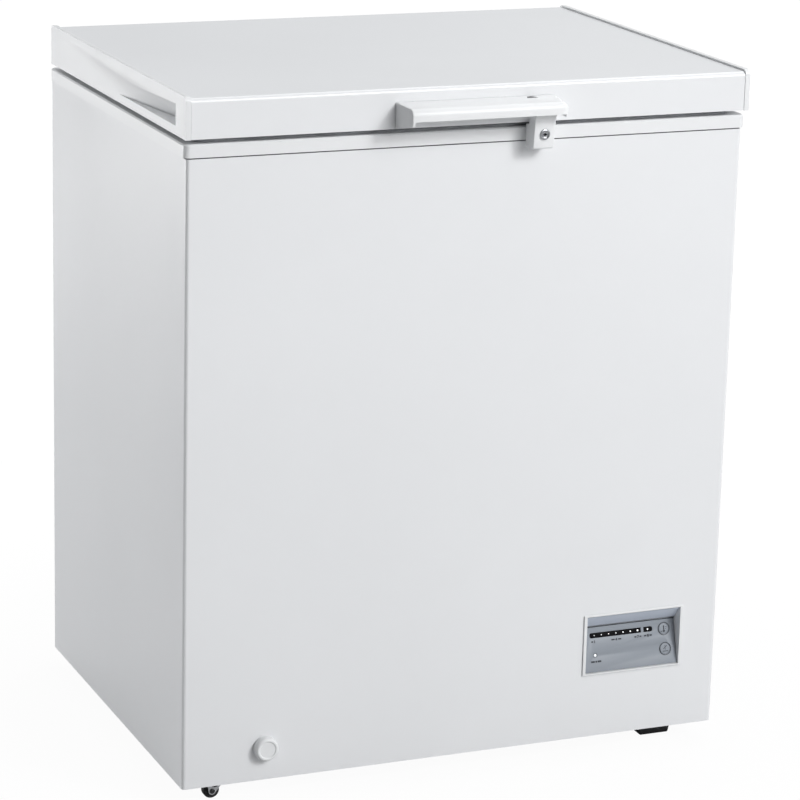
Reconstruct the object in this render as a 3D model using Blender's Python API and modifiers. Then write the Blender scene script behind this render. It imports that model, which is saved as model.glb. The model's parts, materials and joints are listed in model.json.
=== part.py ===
"""Chest freezer, about 142 litres, as an assembly of separate pieces.

Frame: +Z up, the front faces -Y, +X to the right of someone standing in front.
The origin is on the floor under the middle of the overall box.  Lengths in the
tables below are millimetres; y is counted from the cabinet's front face and
shifted by Y_SHIFT when a shape is placed.
"""
import math

import bmesh
import bpy
from mathutils import Matrix, Vector

# ----------------------------------------------------------------- dimensions
MM = 0.001
GAP = 0.3                    # clearance between touching pieces
Y_SHIFT = 240.0              # cabinet front face stands at y = -240 in the part's frame

CAB_HALF = 349.0             # cabinet half width
CAB_DEPTH = 518.0
FLOOR_CLEAR = 25.0           # castors and feet
SHELL_TOP = 777.6
SHELL_R = 4.5                # folded corner of the steel shell
SHEET = 1.0

COLLAR_HALF = 352.2
COLLAR_TOP = 794.8
COLLAR_BOT = 779.4
OPEN_HALF = 285.7            # opening of the collar
OPEN_Y0, OPEN_Y1 = 63.3, 454.7
LEDGE_HALF = 310.0
LEDGE_Y0, LEDGE_Y1 = 39.0, 479.0
LEDGE_Z = 788.0

CAV_HALF = 289.0             # inside of the tub
CAV_Y0, CAV_Y1 = 60.0, 458.0
CAV_FLOOR = 85.0
STEP_X, STEP_Z = 100.0, 300.0
TUB_TOP = 784.0

LID_HALF = 352.7
LID_Y0, LID_Y1 = -8.1, 509.8
LID_BOT, LID_TOP = 801.0, 850.0
PANEL_TOP = 847.6
TRIM_W = 6.4
PIN_Y, PIN_Z = 524.2, 800.0  # lid hinge axis
KNUCKLE_R = 5.8
HINGE_X = 205.0

HANDLE_HALF = 101.5
HANDLE_NOSE = -50.0

LOCK_X, LOCK_Z = 77.5, 789.6
DRAIN_X, DRAIN_Z = -246.5, 66.0

PANEL_X0, PANEL_X1 = 167.0, 302.5
PANEL_Z0, PANEL_Z1 = 105.0, 183.5
REC_X0, REC_X1 = 171.0, 298.4
REC_A = (1.0, 107.3)         # foot of the sloping faceplate (y, z)
REC_B = (16.0, 162.5)        # its head
REC_C = (0.0, 181.2)

CASTOR_X, CASTOR_Y = -299.0, (28.0, 470.0)
WHEEL_R = 10.0

# ------------------------------------------------------------------ set-up
for ob in list(bpy.data.objects):
    bpy.data.objects.remove(ob, do_unlink=True)

PARTS = bpy.data.collections.new("chest_freezer")
CUTTERS = bpy.data.collections.new("cutters")
bpy.context.scene.collection.children.link(PARTS)
bpy.context.scene.collection.children.link(CUTTERS)


def material(name, rgb, rough, metal=0.0, alpha=1.0):
    m = bpy.data.materials.new(name)
    m.use_nodes = True
    b = m.node_tree.nodes["Principled BSDF"]
    b.inputs["Base Color"].default_value = (*rgb, 1.0)
    b.inputs["Roughness"].default_value = rough
    b.inputs["Metallic"].default_value = metal
    b.inputs["Alpha"].default_value = alpha
    m.diffuse_color = (*rgb, 1.0)
    return m


def P(x, y, z):
    """Millimetres (y from the cabinet's front face) to metres in the part's frame."""
    return Vector((x * MM, (y - Y_SHIFT) * MM, z * MM))


def put(ob, mat=None, coll=PARTS):
    for c in list(ob.users_collection):
        c.objects.unlink(ob)
    coll.objects.link(ob)
    if coll is CUTTERS:
        ob.hide_render = True
        ob.display_type = "WIRE"
    elif mat is not None:
        ob.data.materials.clear()
        ob.data.materials.append(mat)
    return ob


def face_out(bm):
    """Points every face of a closed body outwards."""
    bmesh.ops.recalc_face_normals(bm, faces=bm.faces[:])
    if bm.calc_volume(signed=True) < 0:
        bmesh.ops.reverse_faces(bm, faces=bm.faces[:])


def obj_from_bm(name, bm, mat, coll=PARTS, smooth=False):
    face_out(bm)
    me = bpy.data.meshes.new(name)
    bm.to_mesh(me)
    bm.free()
    ob = bpy.data.objects.new(name, me)
    put(ob, mat, coll)
    if smooth:
        me.shade_smooth()
        me.set_sharp_from_angle(angle=math.radians(35))
    return ob


def box(name, x, y, z, mat, coll=PARTS):
    """A cuboid between (x0, x1), (y0, y1), (z0, z1) millimetres."""
    bm = bmesh.new()
    bmesh.ops.create_cube(bm, size=1.0)
    bmesh.ops.scale(bm, vec=Vector(((x[1] - x[0]) * MM, (y[1] - y[0]) * MM, (z[1] - z[0]) * MM)), verts=bm.verts)
    ob = obj_from_bm(name, bm, mat, coll)
    ob.location = P((x[0] + x[1]) / 2, (y[0] + y[1]) / 2, (z[0] + z[1]) / 2)
    return ob


AXES = {"X": Matrix(((0, 0, 1, 0), (1, 0, 0, 0), (0, 1, 0, 0), (0, 0, 0, 1))),
        "Y": Matrix(((0, 1, 0, 0), (0, 0, 1, 0), (1, 0, 0, 0), (0, 0, 0, 1))),
        "Z": Matrix.Identity(4)}


def cyl(name, c, r, half, axis, mat, coll=PARTS, n=24, r2=None):
    """A cylinder about c = (x, y, z) along an axis, half its length each way."""
    bm = bmesh.new()
    bmesh.ops.create_cone(bm, cap_ends=True, segments=n, radius1=r * MM,
                          radius2=(r if r2 is None else r2) * MM, depth=2 * half * MM)
    bm.transform(AXES[axis])
    ob = obj_from_bm(name, bm, mat, coll, smooth=True)
    ob.location = P(*c)
    return ob


def turned(name, c, profile, axis, mat, n=24, coll=PARTS):
    """A turned solid: profile of (radius, height) from its top down to its foot."""
    down = sum((a[0] ** 2 + a[0] * b[0] + b[0] ** 2) * (a[1] - b[1]) for a, b in zip(profile, profile[1:]))
    if down < 0:
        profile = profile[::-1]
    ring = profile[0] == profile[-1]
    bm = bmesh.new()
    vs = [bm.verts.new((r * MM, 0.0, h * MM)) for r, h in (profile[:-1] if ring else profile)]
    for a, b in zip(vs, vs[1:]):
        bm.edges.new((a, b))
    if ring:
        bm.edges.new((vs[-1], vs[0]))
    me = bpy.data.meshes.new(name)
    bm.to_mesh(me)
    bm.free()
    ob = bpy.data.objects.new(name, me)
    put(ob, mat, coll)
    s = ob.modifiers.new("turn", "SCREW")
    s.axis = "Z"
    s.steps = n
    s.render_steps = n
    s.use_merge_vertices = True
    s.merge_threshold = 0.00005
    s.use_smooth_shade = True
    ob.matrix_world = Matrix.Translation(P(*c)) @ AXES[axis]
    return ob


def to_mesh(ob, coll, mat):
    """A curve object made a welded mesh in its place."""
    dg = bpy.context.evaluated_depsgraph_get()
    dg.update()
    me = bpy.data.meshes.new_from_object(ob.evaluated_get(dg))
    bm = bmesh.new()
    bm.from_mesh(me)
    bmesh.ops.remove_doubles(bm, verts=bm.verts, dist=0.00001)
    face_out(bm)
    bm.to_mesh(me)
    bm.free()
    name, mw = ob.name, ob.matrix_world.copy()
    cu = ob.data
    bpy.data.objects.remove(ob)
    bpy.data.curves.remove(cu)
    new = bpy.data.objects.new(name, me)
    put(new, mat, coll)
    new.matrix_world = mw
    return new


def prism(name, pts, span, axis, mat, coll=PARTS):
    """A flat outline drawn out between span[0] and span[1] along an axis.
    pts are (x, y) for Z, (y, z) for X and (x, z) for Y, in millimetres."""
    cu = bpy.data.curves.new(name, "CURVE")
    cu.dimensions = "2D"
    cu.fill_mode = "BOTH"
    cu.extrude = (span[1] - span[0]) / 2 * MM
    sp = cu.splines.new("POLY")
    sp.points.add(len(pts) - 1)
    cx = sum(p[0] for p in pts) / len(pts)
    cy = sum(p[1] for p in pts) / len(pts)
    for i, p in enumerate(pts):
        a, b = (p[0] - cx) * MM, (p[1] - cy) * MM
        sp.points[i].co = (b, a, 0, 1) if axis == "Y" else (a, b, 0, 1)
    sp.use_cyclic_u = True
    ob = bpy.data.objects.new(name, cu)
    coll.objects.link(ob)
    mid = (span[0] + span[1]) / 2
    at = {"X": (mid, cx, cy), "Y": (cx, mid, cy), "Z": (cx, cy, mid)}[axis]
    ob.matrix_world = Matrix.Translation(P(*at)) @ AXES[axis]
    bpy.context.view_layer.update()
    return to_mesh(ob, coll, mat)


def tube(name, pts, r, mat, res=2, closed=False):
    """A round wire or pipe through points in millimetres."""
    cu = bpy.data.curves.new(name, "CURVE")
    cu.dimensions = "3D"
    cu.bevel_depth = r * MM
    cu.bevel_resolution = res
    cu.use_fill_caps = not closed
    sp = cu.splines.new("POLY")
    sp.points.add(len(pts) - 1)
    for i, p in enumerate(pts):
        sp.points[i].co = (*P(*p), 1)
    sp.use_cyclic_u = closed
    ob = bpy.data.objects.new(name, cu)
    put(ob, mat)
    return ob


def rrect(x0, x1, y0, y1, r, n=3):
    """Points of a rounded rectangle, anticlockwise."""
    out = []
    for cx, cy, a0 in ((x1 - r, y0 + r, -90), (x1 - r, y1 - r, 0), (x0 + r, y1 - r, 90), (x0 + r, y0 + r, 180)):
        for k in range(n + 1):
            a = math.radians(a0 + 90 * k / n)
            out.append((cx + r * math.cos(a), cy + r * math.sin(a)))
    return out


def arc(cy, cz, r, a0, a1, n):
    return [(cy + r * math.cos(math.radians(a0 + (a1 - a0) * k / n)),
             cz + r * math.sin(math.radians(a0 + (a1 - a0) * k / n))) for k in range(n + 1)]


def swept_ring(name, section, x, y, mat, n=3):
    """A closed section of (outward offset, z, corner radius) carried round a rectangle."""
    bm = bmesh.new()
    loops = []
    for off, z, r in section:
        loops.append([bm.verts.new(P(px, py, z)) for px, py in
                      rrect(x[0] - off, x[1] + off, y[0] - off, y[1] + off, r, n)])
    m = len(loops[0])
    for j in range(len(loops)):
        a, b = loops[j], loops[(j + 1) % len(loops)]
        for i in range(m):
            bm.faces.new((a[i], a[(i + 1) % m], b[(i + 1) % m], b[i]))
    return obj_from_bm(name, bm, mat)


def hull(name, pts, mat, coll=PARTS):
    bm = bmesh.new()
    for p in pts:
        bm.verts.new(P(*p))
    bmesh.ops.convex_hull(bm, input=bm.verts)
    return obj_from_bm(name, bm, mat, coll)


def boolean(ob, other, op="DIFFERENCE"):
    m = ob.modifiers.new(op.lower(), "BOOLEAN")
    m.operation = op
    m.solver = "EXACT"
    m.object = other
    return ob


def cut(ob, *cutters):
    for c in cutters:
        boolean(ob, c)
    return ob


def join(ob, *others):
    """Unites helper solids, kept with the cutters, with the named piece."""
    for o in others:
        boolean(ob, o, "UNION")
    return ob


def bevel(ob, width, segments=2, angle=30):
    b = ob.modifiers.new("bevel", "BEVEL")
    b.width = width * MM
    b.segments = segments
    b.limit_method = "ANGLE"
    b.angle_limit = math.radians(angle)
    b.harden_normals = False
    return ob


def solidify(ob, thickness, offset):
    s = ob.modifiers.new("sheet", "SOLIDIFY")
    s.thickness = thickness * MM
    s.offset = offset
    s.use_even_offset = True
    return ob


def cbox(name, x, y, z):
    return box("cut_" + name, x, y, z, None, CUTTERS)


def ccyl(name, c, r, half, axis, n=24):
    return cyl("cut_" + name, c, r, half, axis, None, CUTTERS, n)


def cprism(name, pts, span, axis):
    return prism("cut_" + name, pts, span, axis, None, CUTTERS)


# ----------------------------------------------------------------- materials
M_STEEL = material("white_coated_steel", (0.83, 0.84, 0.86), 0.32)
M_STEEL_B = material("white_coated_steel_rear", (0.80, 0.81, 0.83), 0.45)
M_ZINC = material("zinc_plated_steel", (0.56, 0.57, 0.58), 0.38, 0.9)
M_WHITE = material("white_plastic", (0.86, 0.87, 0.88), 0.3)
M_GLOSS = material("white_gloss_plastic", (0.90, 0.91, 0.92), 0.18)
M_LINER = material("tub_white", (0.82, 0.84, 0.86), 0.4)
M_FOAM = material("polyurethane_foam", (0.83, 0.73, 0.48), 0.9)
M_RUBBER = material("black_rubber", (0.02, 0.02, 0.022), 0.8)
M_SEAL = material("seal_rubber", (0.30, 0.31, 0.33), 0.7)
M_BLACK = material("black_plastic", (0.02, 0.02, 0.022), 0.45)
M_PAINTK = material("black_painted_steel", (0.03, 0.03, 0.032), 0.4, 0.3)
M_COPPER = material("copper_tube", (0.72, 0.40, 0.25), 0.35, 0.9)
M_ALU = material("aluminium_tube", (0.75, 0.76, 0.77), 0.4, 0.9)
M_SILVER = material("silver_faceplate", (0.36, 0.38, 0.42), 0.4, 0.3)
M_LENS = material("smoked_lens", (0.01, 0.01, 0.012), 0.15)
M_CLEAR = material("clear_lens", (0.80, 0.82, 0.84), 0.15)
M_PCB = material("circuit_board", (0.03, 0.22, 0.10), 0.5)
M_WIRE = material("coated_wire", (0.86, 0.87, 0.88), 0.35)

# ------------------------------------------------------------ cabinet casing
# U-shaped wrapper: front and both sides in one folded sheet.
r1, r2 = SHELL_R, SHELL_R - SHEET
outer = [(-CAB_HALF, 516.5)] + arc(-CAB_HALF + r1, r1, r1, 180, 270, 4) + arc(CAB_HALF - r1, r1, r1, 270, 360, 4) + [(CAB_HALF, 516.5)]
inner = [(CAB_HALF - SHEET, 516.5)] + arc(CAB_HALF - r1, r1, r2, 360, 270, 4) + arc(-CAB_HALF + r1, r1, r2, 270, 180, 4) + [(-CAB_HALF + SHEET, 516.5)]
shell = prism("outer_shell", outer + inner, (FLOOR_CLEAR, SHELL_TOP), "Z", M_STEEL)
cut(shell,
    cbox("panel_hole", (PANEL_X0 + 2.0, PANEL_X1 - 2.0), (-5, 5), (PANEL_Z0 + 1.5, PANEL_Z1 - 1.5)),
    ccyl("drain_hole", (DRAIN_X, 0, DRAIN_Z), 11.0, 6, "Y"))

rear = box("rear_panel", (-CAB_HALF, CAB_HALF), (516.8, CAB_DEPTH), (FLOOR_CLEAR, SHELL_TOP), M_STEEL_B)
cut(rear, cbox("bay_window", (162, 338), (510, 525), (36, 238)))

base = box("base_pan", (-346.7, 346.7), (2.3, 516.4), (FLOOR_CLEAR, 26.4), M_ZINC)
cut(base, cbox("pan_vent_1", (200, 212), (60, 280), (20, 30)), cbox("pan_vent_2", (226, 238), (60, 280), (20, 30)),
    cbox("pan_vent_3", (252, 264), (60, 280), (20, 30)))

# ------------------------------------------------------------------- the tub
step = [(-CAV_HALF, CAV_FLOOR), (STEP_X, CAV_FLOOR), (STEP_X, STEP_Z), (CAV_HALF, STEP_Z), (CAV_HALF, TUB_TOP), (-CAV_HALF, TUB_TOP)]
tub = prism("inner_liner", step, (CAV_Y0, CAV_Y1), "Y", M_LINER)
bm = bmesh.new()
bm.from_mesh(tub.data)
top = [f for f in bm.faces if all(abs((tub.matrix_world @ v.co).z - TUB_TOP * MM) < 1e-5 for v in f.verts)]
bmesh.ops.delete(bm, geom=top, context="FACES")
bmesh.ops.dissolve_limit(bm, angle_limit=0.01, verts=bm.verts, edges=bm.edges)
bm.to_mesh(tub.data)
bm.free()
bevel(tub, 16, 2)
solidify(tub, 1.0, 1.0)
cut(tub, ccyl("tub_drain", (DRAIN_X, 110, CAV_FLOOR), 9.0, 8, "Z", 16))

# ------------------------------------------------------------- insulation
F_HALF, F_Y0, F_Y1 = 342.0, 5.8, 510.8
foam = box("foam_insulation", (-F_HALF, F_HALF), (F_Y0, F_Y1), (26.8, TUB_TOP - GAP), M_FOAM)
E = 9.6                      # tub sheet, coil and clearance
step_f = [(-CAV_HALF - E, CAV_FLOOR - 1.4), (STEP_X + E, CAV_FLOOR - 1.4), (STEP_X + E, STEP_Z - 11.0), (STEP_X + E + 8.0, STEP_Z - 1.4),
          (CAV_HALF + E, STEP_Z - 1.4), (CAV_HALF + E, 900), (-CAV_HALF - E, 900)]
cut(foam, cprism("tub_room", step_f, (CAV_Y0 - E, CAV_Y1 + E), "Y"),
    cbox("machine_bay", (150, 400), (-10, 600), (0, 250)))
cut(foam, cbox("drain_channel", (DRAIN_X - 5.5, DRAIN_X + 5.5), (-10, 115.5), (DRAIN_Z - 5.5, 90)),
    ccyl("spout_room", (DRAIN_X, 4.5, DRAIN_Z), 10.8, 8.5, "Y", 20),
    ccyl("suction_way", (206, 452, 275), 4.2, 40, "Z", 12))

bay = [(150.4, 26.8), (151.4, 26.8), (151.4, 248.6), (341.7, 248.6), (341.7, 249.6), (150.4, 249.6)]
bay_panel = prism("machine_bay_panel", bay, (5.8, 510.8), "Y", M_ZINC)
cut(bay_panel, ccyl("suction_way_2", (206, 452, 249), 4.2, 6, "Z", 12))

# ------------------------------------------------------------- top collar
# Channel-shaped breaker frame with a ledge inside for the basket's hooks.
# Offsets in the section are outward from the opening.
front_off = OPEN_Y0 + 1.8
collar = swept_ring("top_collar",
                    [(0.0, 770.0, 19.0), (3.0, 770.0, 20.5), (3.0, TUB_TOP + 0.4, 20.5), (27.6, TUB_TOP + 0.4, 22.0), (27.6, 791.2, 22.0),
                     (59.8, 791.2, 5.0), (59.8, COLLAR_BOT, 5.0), (62.8, COLLAR_BOT, 8.0), (62.8, COLLAR_TOP - 1.6, 8.0),
                     (61.2, COLLAR_TOP, 7.0), (24.3, COLLAR_TOP, 20.0), (24.3, LEDGE_Z, 20.0), (1.0, LEDGE_Z, 19.4), (0.0, LEDGE_Z - 1.0, 19.0)],
                    (-OPEN_HALF, OPEN_HALF), (OPEN_Y0, OPEN_Y1), M_WHITE)
# the plan is stretched where the rim stands further out at the sides than the ring gives
for v in collar.data.vertices:
    off_x = abs(v.co.x) / MM - OPEN_HALF
    if off_x > 40:
        v.co.x = math.copysign((abs(v.co.x) / MM + (COLLAR_HALF - OPEN_HALF - 62.8)) * MM, v.co.x)
    y = v.co.y / MM + Y_SHIFT
    if y < OPEN_Y0 - 40:
        v.co.y = (y - (front_off - 62.8) - Y_SHIFT) * MM
    if y > OPEN_Y1 + 40:
        v.co.y = (y + (CAB_DEPTH - OPEN_Y1 - 62.8) - Y_SHIFT) * MM

# ------------------------------------------------------------ cooling coils
def loop_coil(half, y0, y1, r, zs, rise):
    """Rounded rectangular turns that climb a little along their rear run."""
    pts = []
    for i, z in enumerate(zs):
        ring = rrect(-half, half, y0, y1, r, 3)
        ring = ring[4:] + ring[:4]
        for k, (x, y) in enumerate(ring):
            pts.append((x, y, z + rise * k / len(ring)))
    return pts


EC = 5.0
evap = tube("evaporator_coil", loop_coil(CAV_HALF + EC, CAV_Y0 - EC, CAV_Y1 + EC, 14, [340 + 84 * i for i in range(5)], 84.0), 3.6, M_ALU, 2)
CC = 345.2                   # condenser tube against the inside of the shell
serp = []
lanes = [300, 380, 460, 540, 620, 700]
for i, z in enumerate(lanes):
    run = [(CC, 60), (CC, 509.0), (CC - 0.8, 512.2), (CC - 3.0, 514.1), (-CC + 3.0, 514.1), (-CC + 0.8, 512.2), (-CC, 509.0), (-CC, 60)]
    if i % 2:
        run = run[::-1]
    serp += [(x, y, z) for x, y in run]
cond = tube("condenser_coil", serp, 2.3, M_COPPER, 2)

# --------------------------------------------------------------- drain line
drain_tube = tube("drain_tube", [(DRAIN_X, 110, 82.8), (DRAIN_X, 110, 74), (DRAIN_X, 108, 69), (DRAIN_X, 103, 66.3), (DRAIN_X, 96, DRAIN_Z),
                                 (DRAIN_X, 40, DRAIN_Z), (DRAIN_X, 14.5, DRAIN_Z)], 4.5, M_WHITE, 2)
plug = turned("drain_plug", (DRAIN_X, 110, 85.4), [(0, 9), (3.5, 9), (4.2, 8), (4.2, 3.2), (13, 2.6), (13.5, 1.5), (13.5, 0), (7.6, 0), (7.0, -1.8), (0, -1.8)], "Z", M_RUBBER, 20)
spout = turned("drain_spout", (DRAIN_X, 0, DRAIN_Z), [(0, -1.5), (10.2, -1.5), (10.2, 10.5), (7.0, 12.0), (0, 12.0)], "Y", M_WHITE, 24)
knob = turned("drain_knob", (DRAIN_X, 0, DRAIN_Z), [(0, -1.8), (10.8, -1.8), (10.8, -0.7), (14.2, -0.7), (14.6, -1.6), (14.6, -3.0), (14.6, -8.0), (13.2, -10.6), (11.0, -11.4), (10.2, -11.0), (10.0, -10.2), (0, -10.2)], "Y", M_WHITE, 32)

# ------------------------------------------------------------ control panel
bez = box("control_bezel", (PANEL_X0, PANEL_X1), (-2.0, -GAP), (PANEL_Z0, PANEL_Z1), M_WHITE)
bevel(bez, 1.1, 2)
body = box("bezel_body", (PANEL_X0 + 2.4, PANEL_X1 - 2.4), (-1.0, 30.0), (PANEL_Z0 + 1.9, PANEL_Z1 - 1.9), None, CUTTERS)
join(bez, body)
slope = math.atan2(REC_B[0] - REC_A[0], REC_B[1] - REC_A[1])
s_len = math.hypot(REC_B[0] - REC_A[0], REC_B[1] - REC_A[1])
bk = 1.2                     # the faceplate's own room behind the slope
ny, nz = math.cos(slope) * bk, -math.sin(slope) * bk
recess = [(-4, REC_A[1]), (-4, REC_C[1]), (REC_C[0], REC_C[1]), (REC_B[0] + ny, REC_B[1]), (REC_A[0] + ny, REC_A[1])]
cut(bez, cprism("panel_recess", recess, (REC_X0, REC_X1), "X"),
    cprism("bezel_back", [(40, 109.4), (5.6, 109.4), (20.6, 164.0), (5.0, 179.6), (40, 179.6)], (REC_X0 + 0.8, REC_X1 - 0.8), "X"))


def on_slope(name, x, s, d, mat, coll=PARTS, bev=0):
    """A plate on the sloping face: x and s are spans across and up it, d is depth from its front."""
    bm = bmesh.new()
    bmesh.ops.create_cube(bm, size=1.0)
    bmesh.ops.scale(bm, vec=Vector(((x[1] - x[0]) * MM, (d[1] - d[0]) * MM, (s[1] - s[0]) * MM)), verts=bm.verts)
    ob = obj_from_bm(name, bm, mat, coll)
    m = Matrix.Translation(P(0, *REC_A)) @ Matrix.Rotation(-slope, 4, "X")
    ob.matrix_world = m @ Matrix.Translation(Vector(((x[0] + x[1]) / 2, (d[0] + d[1]) / 2, (s[0] + s[1]) / 2)) * MM)
    return ob


def disc_on_slope(name, x, s, r, d, mat, coll=PARTS, n=24):
    bm = bmesh.new()
    bmesh.ops.create_cone(bm, cap_ends=True, segments=n, radius1=r * MM, radius2=r * MM, depth=(d[1] - d[0]) * MM)
    bm.transform(AXES["Y"])
    ob = obj_from_bm(name, bm, mat, coll, smooth=True)
    m = Matrix.Translation(P(0, *REC_A)) @ Matrix.Rotation(-slope, 4, "X")
    ob.matrix_world = m @ Matrix.Translation(Vector((x, (d[0] + d[1]) / 2, s)) * MM)
    return ob


BTN_X, BTN_S, BTN_R = 283.4, (44.0, 19.0), 6.9
LED_S = (42.4, 48.9)
face = on_slope("control_faceplate", (REC_X0 + 0.4, REC_X1 - 0.4), (0.8, s_len - 0.5), (-0.1, 0.8), M_SILVER)
cut(face,
    disc_on_slope("cut_btn_a", BTN_X, BTN_S[0], BTN_R + 0.35, (-3, 4), None, CUTTERS),
    disc_on_slope("cut_btn_b", BTN_X, BTN_S[1], BTN_R + 0.35, (-3, 4), None, CUTTERS),
    on_slope("cut_led", (181.7, 252.2), LED_S, (-3, 4), None, CUTTERS),
    on_slope("cut_led2", (255.7, 268.0), LED_S, (-3, 4), None, CUTTERS),
    disc_on_slope("cut_run", 187.4, 21.1, 3.0, (-3, 4), None, CUTTERS, 16))
led_bar = on_slope("led_bar_lens", (182.0, 251.9), (LED_S[0] + 0.3, LED_S[1] - 0.3), (-0.2, 0.7), M_LENS)
led_sup = on_slope("led_fast_lens", (256.0, 267.7), (LED_S[0] + 0.3, LED_S[1] - 0.3), (-0.2, 0.7), M_LENS)
run_led = disc_on_slope("running_lens", 187.4, 21.1, 2.7, (-0.6, 0.7), M_CLEAR, n=16)
# the slope's back has a hole behind each button, so the button reaches its switch
btn_holes = [disc_on_slope("cut_bez_a", BTN_X, BTN_S[0], BTN_R - 1.2, (-3, 9), None, CUTTERS, 16),
             disc_on_slope("cut_bez_b", BTN_X, BTN_S[1], BTN_R - 1.2, (-3, 9), None, CUTTERS, 16)]
cut(bez, *btn_holes)
for nm, s in (("button_temperature", BTN_S[0]), ("button_fast_freeze", BTN_S[1])):
    b = disc_on_slope(nm, BTN_X, s, BTN_R, (-1.4, 0.2), M_WHITE)
pcb = on_slope("control_pcb", (174, 295), (6.0, 52), (7.4, 9.0), M_PCB)

# --------------------------------------------------------- compressor bay
K_X, K_Y = 248.0, 425.0
comp_base = box("compressor_base", (K_X - 84, K_X + 84), (K_Y - 62, K_Y + 62), (40.0, 43.0), M_PAINTK)
bevel(comp_base, 1.0, 1)
mount = box("compressor_mount", (K_X - 86, K_X + 86), (K_Y - 64, K_Y + 64), (26.8, 31.0), M_RUBBER)
cut(mount, cbox("mount_window", (K_X - 58, K_X + 58), (K_Y - 40, K_Y + 40), (20, 40)))
for sx, sy in ((-1, -1), (1, -1), (-1, 1), (1, 1)):
    join(mount, cyl("mount_boss_%d_%d" % (sx, sy), (K_X + sx * 72, K_Y + sy * 50, 34.8), 9.0, 4.9, "Z", None, CUTTERS, 12))
comp = turned("compressor", (K_X, K_Y, 43.4), [(0, 158), (28, 155), (50, 145), (61, 128), (64, 108), (64, 84), (67, 83), (67, 77), (64, 76), (64, 40), (60, 20), (48, 6), (36, 0), (0, 0)], "Z", M_PAINTK, 28)
relay = box("relay_cover", (153.0, K_X - 67.3), (K_Y - 24, K_Y + 24), (92, 150), M_BLACK)
bevel(relay, 2.5, 1)
drier = turned("filter_drier", (308, 340, 120), [(0, 62), (2.5, 62), (3, 50), (9, 42), (9, -42), (3, -50), (2.5, -62), (0, -62)], "Z", M_COPPER, 14)
suction = tube("suction_pipe", [(206, 452, 284), (206, 452, 240), (206, 452, 228), (208, 451, 219), (213, 447.5, 214), (220, 443, 212.5), (225, 440, 209), (226.5, 438.5, 202.8)], 3.2, M_COPPER, 2)
disch = tube("discharge_pipe", [(K_X + 67.6, K_Y, 110), (K_X + 76, K_Y, 110), (K_X + 82, K_Y, 114), (K_X + 84, K_Y, 122), (K_X + 84, K_Y, 200), (K_X + 84, K_Y, 236), (K_X + 84, K_Y - 2, 247.8)], 2.5, M_COPPER, 2)

cover = box("rear_bay_cover", (154, 346), (518.3, 521.3), (28, 246), M_BLACK)
bevel(cover, 1.0, 1)
for i in range(7):
    z = 62 + 24 * i
    cut(cover, cbox("louvre_%d" % i, (176, 324), (515, 525), (z, z + 9)))
cut(cover, ccyl("inlet_hole", (168, 520, 46), 8.3, 8, "Y", 20))
inlet = turned("cord_inlet", (168, 519.8, 46), [(3.6, -5.0), (8.0, -5.0), (8.0, 1.8), (10.4, 1.9), (10.4, 4.2), (9.2, 5.2), (3.6, 5.2), (3.6, -5.0)], "Y", M_BLACK, 20)
cut(rear, ccyl("inlet_way", (168, 518, 46), 9.2, 8, "Y", 20))

# ------------------------------------------------------------ castors, feet
for tag, cy in (("front", CASTOR_Y[0]), ("rear", CASTOR_Y[1])):
    wx = CASTOR_X - 5.5
    plate = box("castor_%s_plate" % tag, (CASTOR_X - 18, CASTOR_X + 18), (cy - 18, cy + 18), (22.8, 24.7), M_ZINC)
    bevel(plate, 0.6, 1)
    pin = cyl("castor_%s_kingpin" % tag, (CASTOR_X, cy, 22.3), 3.0, 1.4, "Z", None, CUTTERS, 16)
    join(plate, pin)
    side = arc(wx, 10.0, 5.2, 200, 340, 5) + [(CASTOR_X + 7.5, 20.7), (CASTOR_X + 7.5, 22.4), (CASTOR_X - 10.5, 22.4), (CASTOR_X - 10.5, 20.7)]
    fork = prism("castor_%s_fork" % tag, side, (cy - 7.8, cy + 7.8), "Y", M_ZINC)
    cut(fork, cbox("fork_gap_" + tag, (wx - 30, wx + 30), (cy - 6.3, cy + 6.3), (0, 20.9)),
        ccyl("fork_pin_" + tag, (CASTOR_X, cy, 22), 3.4, 3, "Z", 16))
    wheel = turned("castor_%s_wheel" % tag, (wx, cy, 10.0), [(2.3, -5.6), (6.0, -5.6), (6.4, -5.0), (8.6, -5.0), (9.6, -4.4), (WHEEL_R, -3.4), (WHEEL_R, 3.4), (9.6, 4.4), (8.6, 5.0), (6.4, 5.0), (6.0, 5.6), (2.3, 5.6), (2.3, -5.6)], "Y", M_RUBBER, 24)
    axle = turned("castor_axle_" + tag, (wx, cy, 10.0), [(0, -9.6), (3.1, -9.4), (3.6, -8.6), (3.6, -7.6), (2.0, -7.5), (2.0, 7.5), (3.6, 7.6), (3.6, 8.6), (3.1, 9.4), (0, 9.6)], "Y", None, 12, CUTTERS)
    join(fork, axle)

for tag, y0 in (("front_right", 37.0), ("rear_right", 452.0)):
    foot = hull("foot_" + tag, [(x, y, 0) for x in (271.0, 310.5) for y in (y0 + 1.5, y0 + 28.5)] +
                [(x, y, 24.7) for x in (264.0, 314.0) for y in (y0 - 1.0, y0 + 31.0)], M_BLACK)
    bevel(foot, 1.2, 1)

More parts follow.
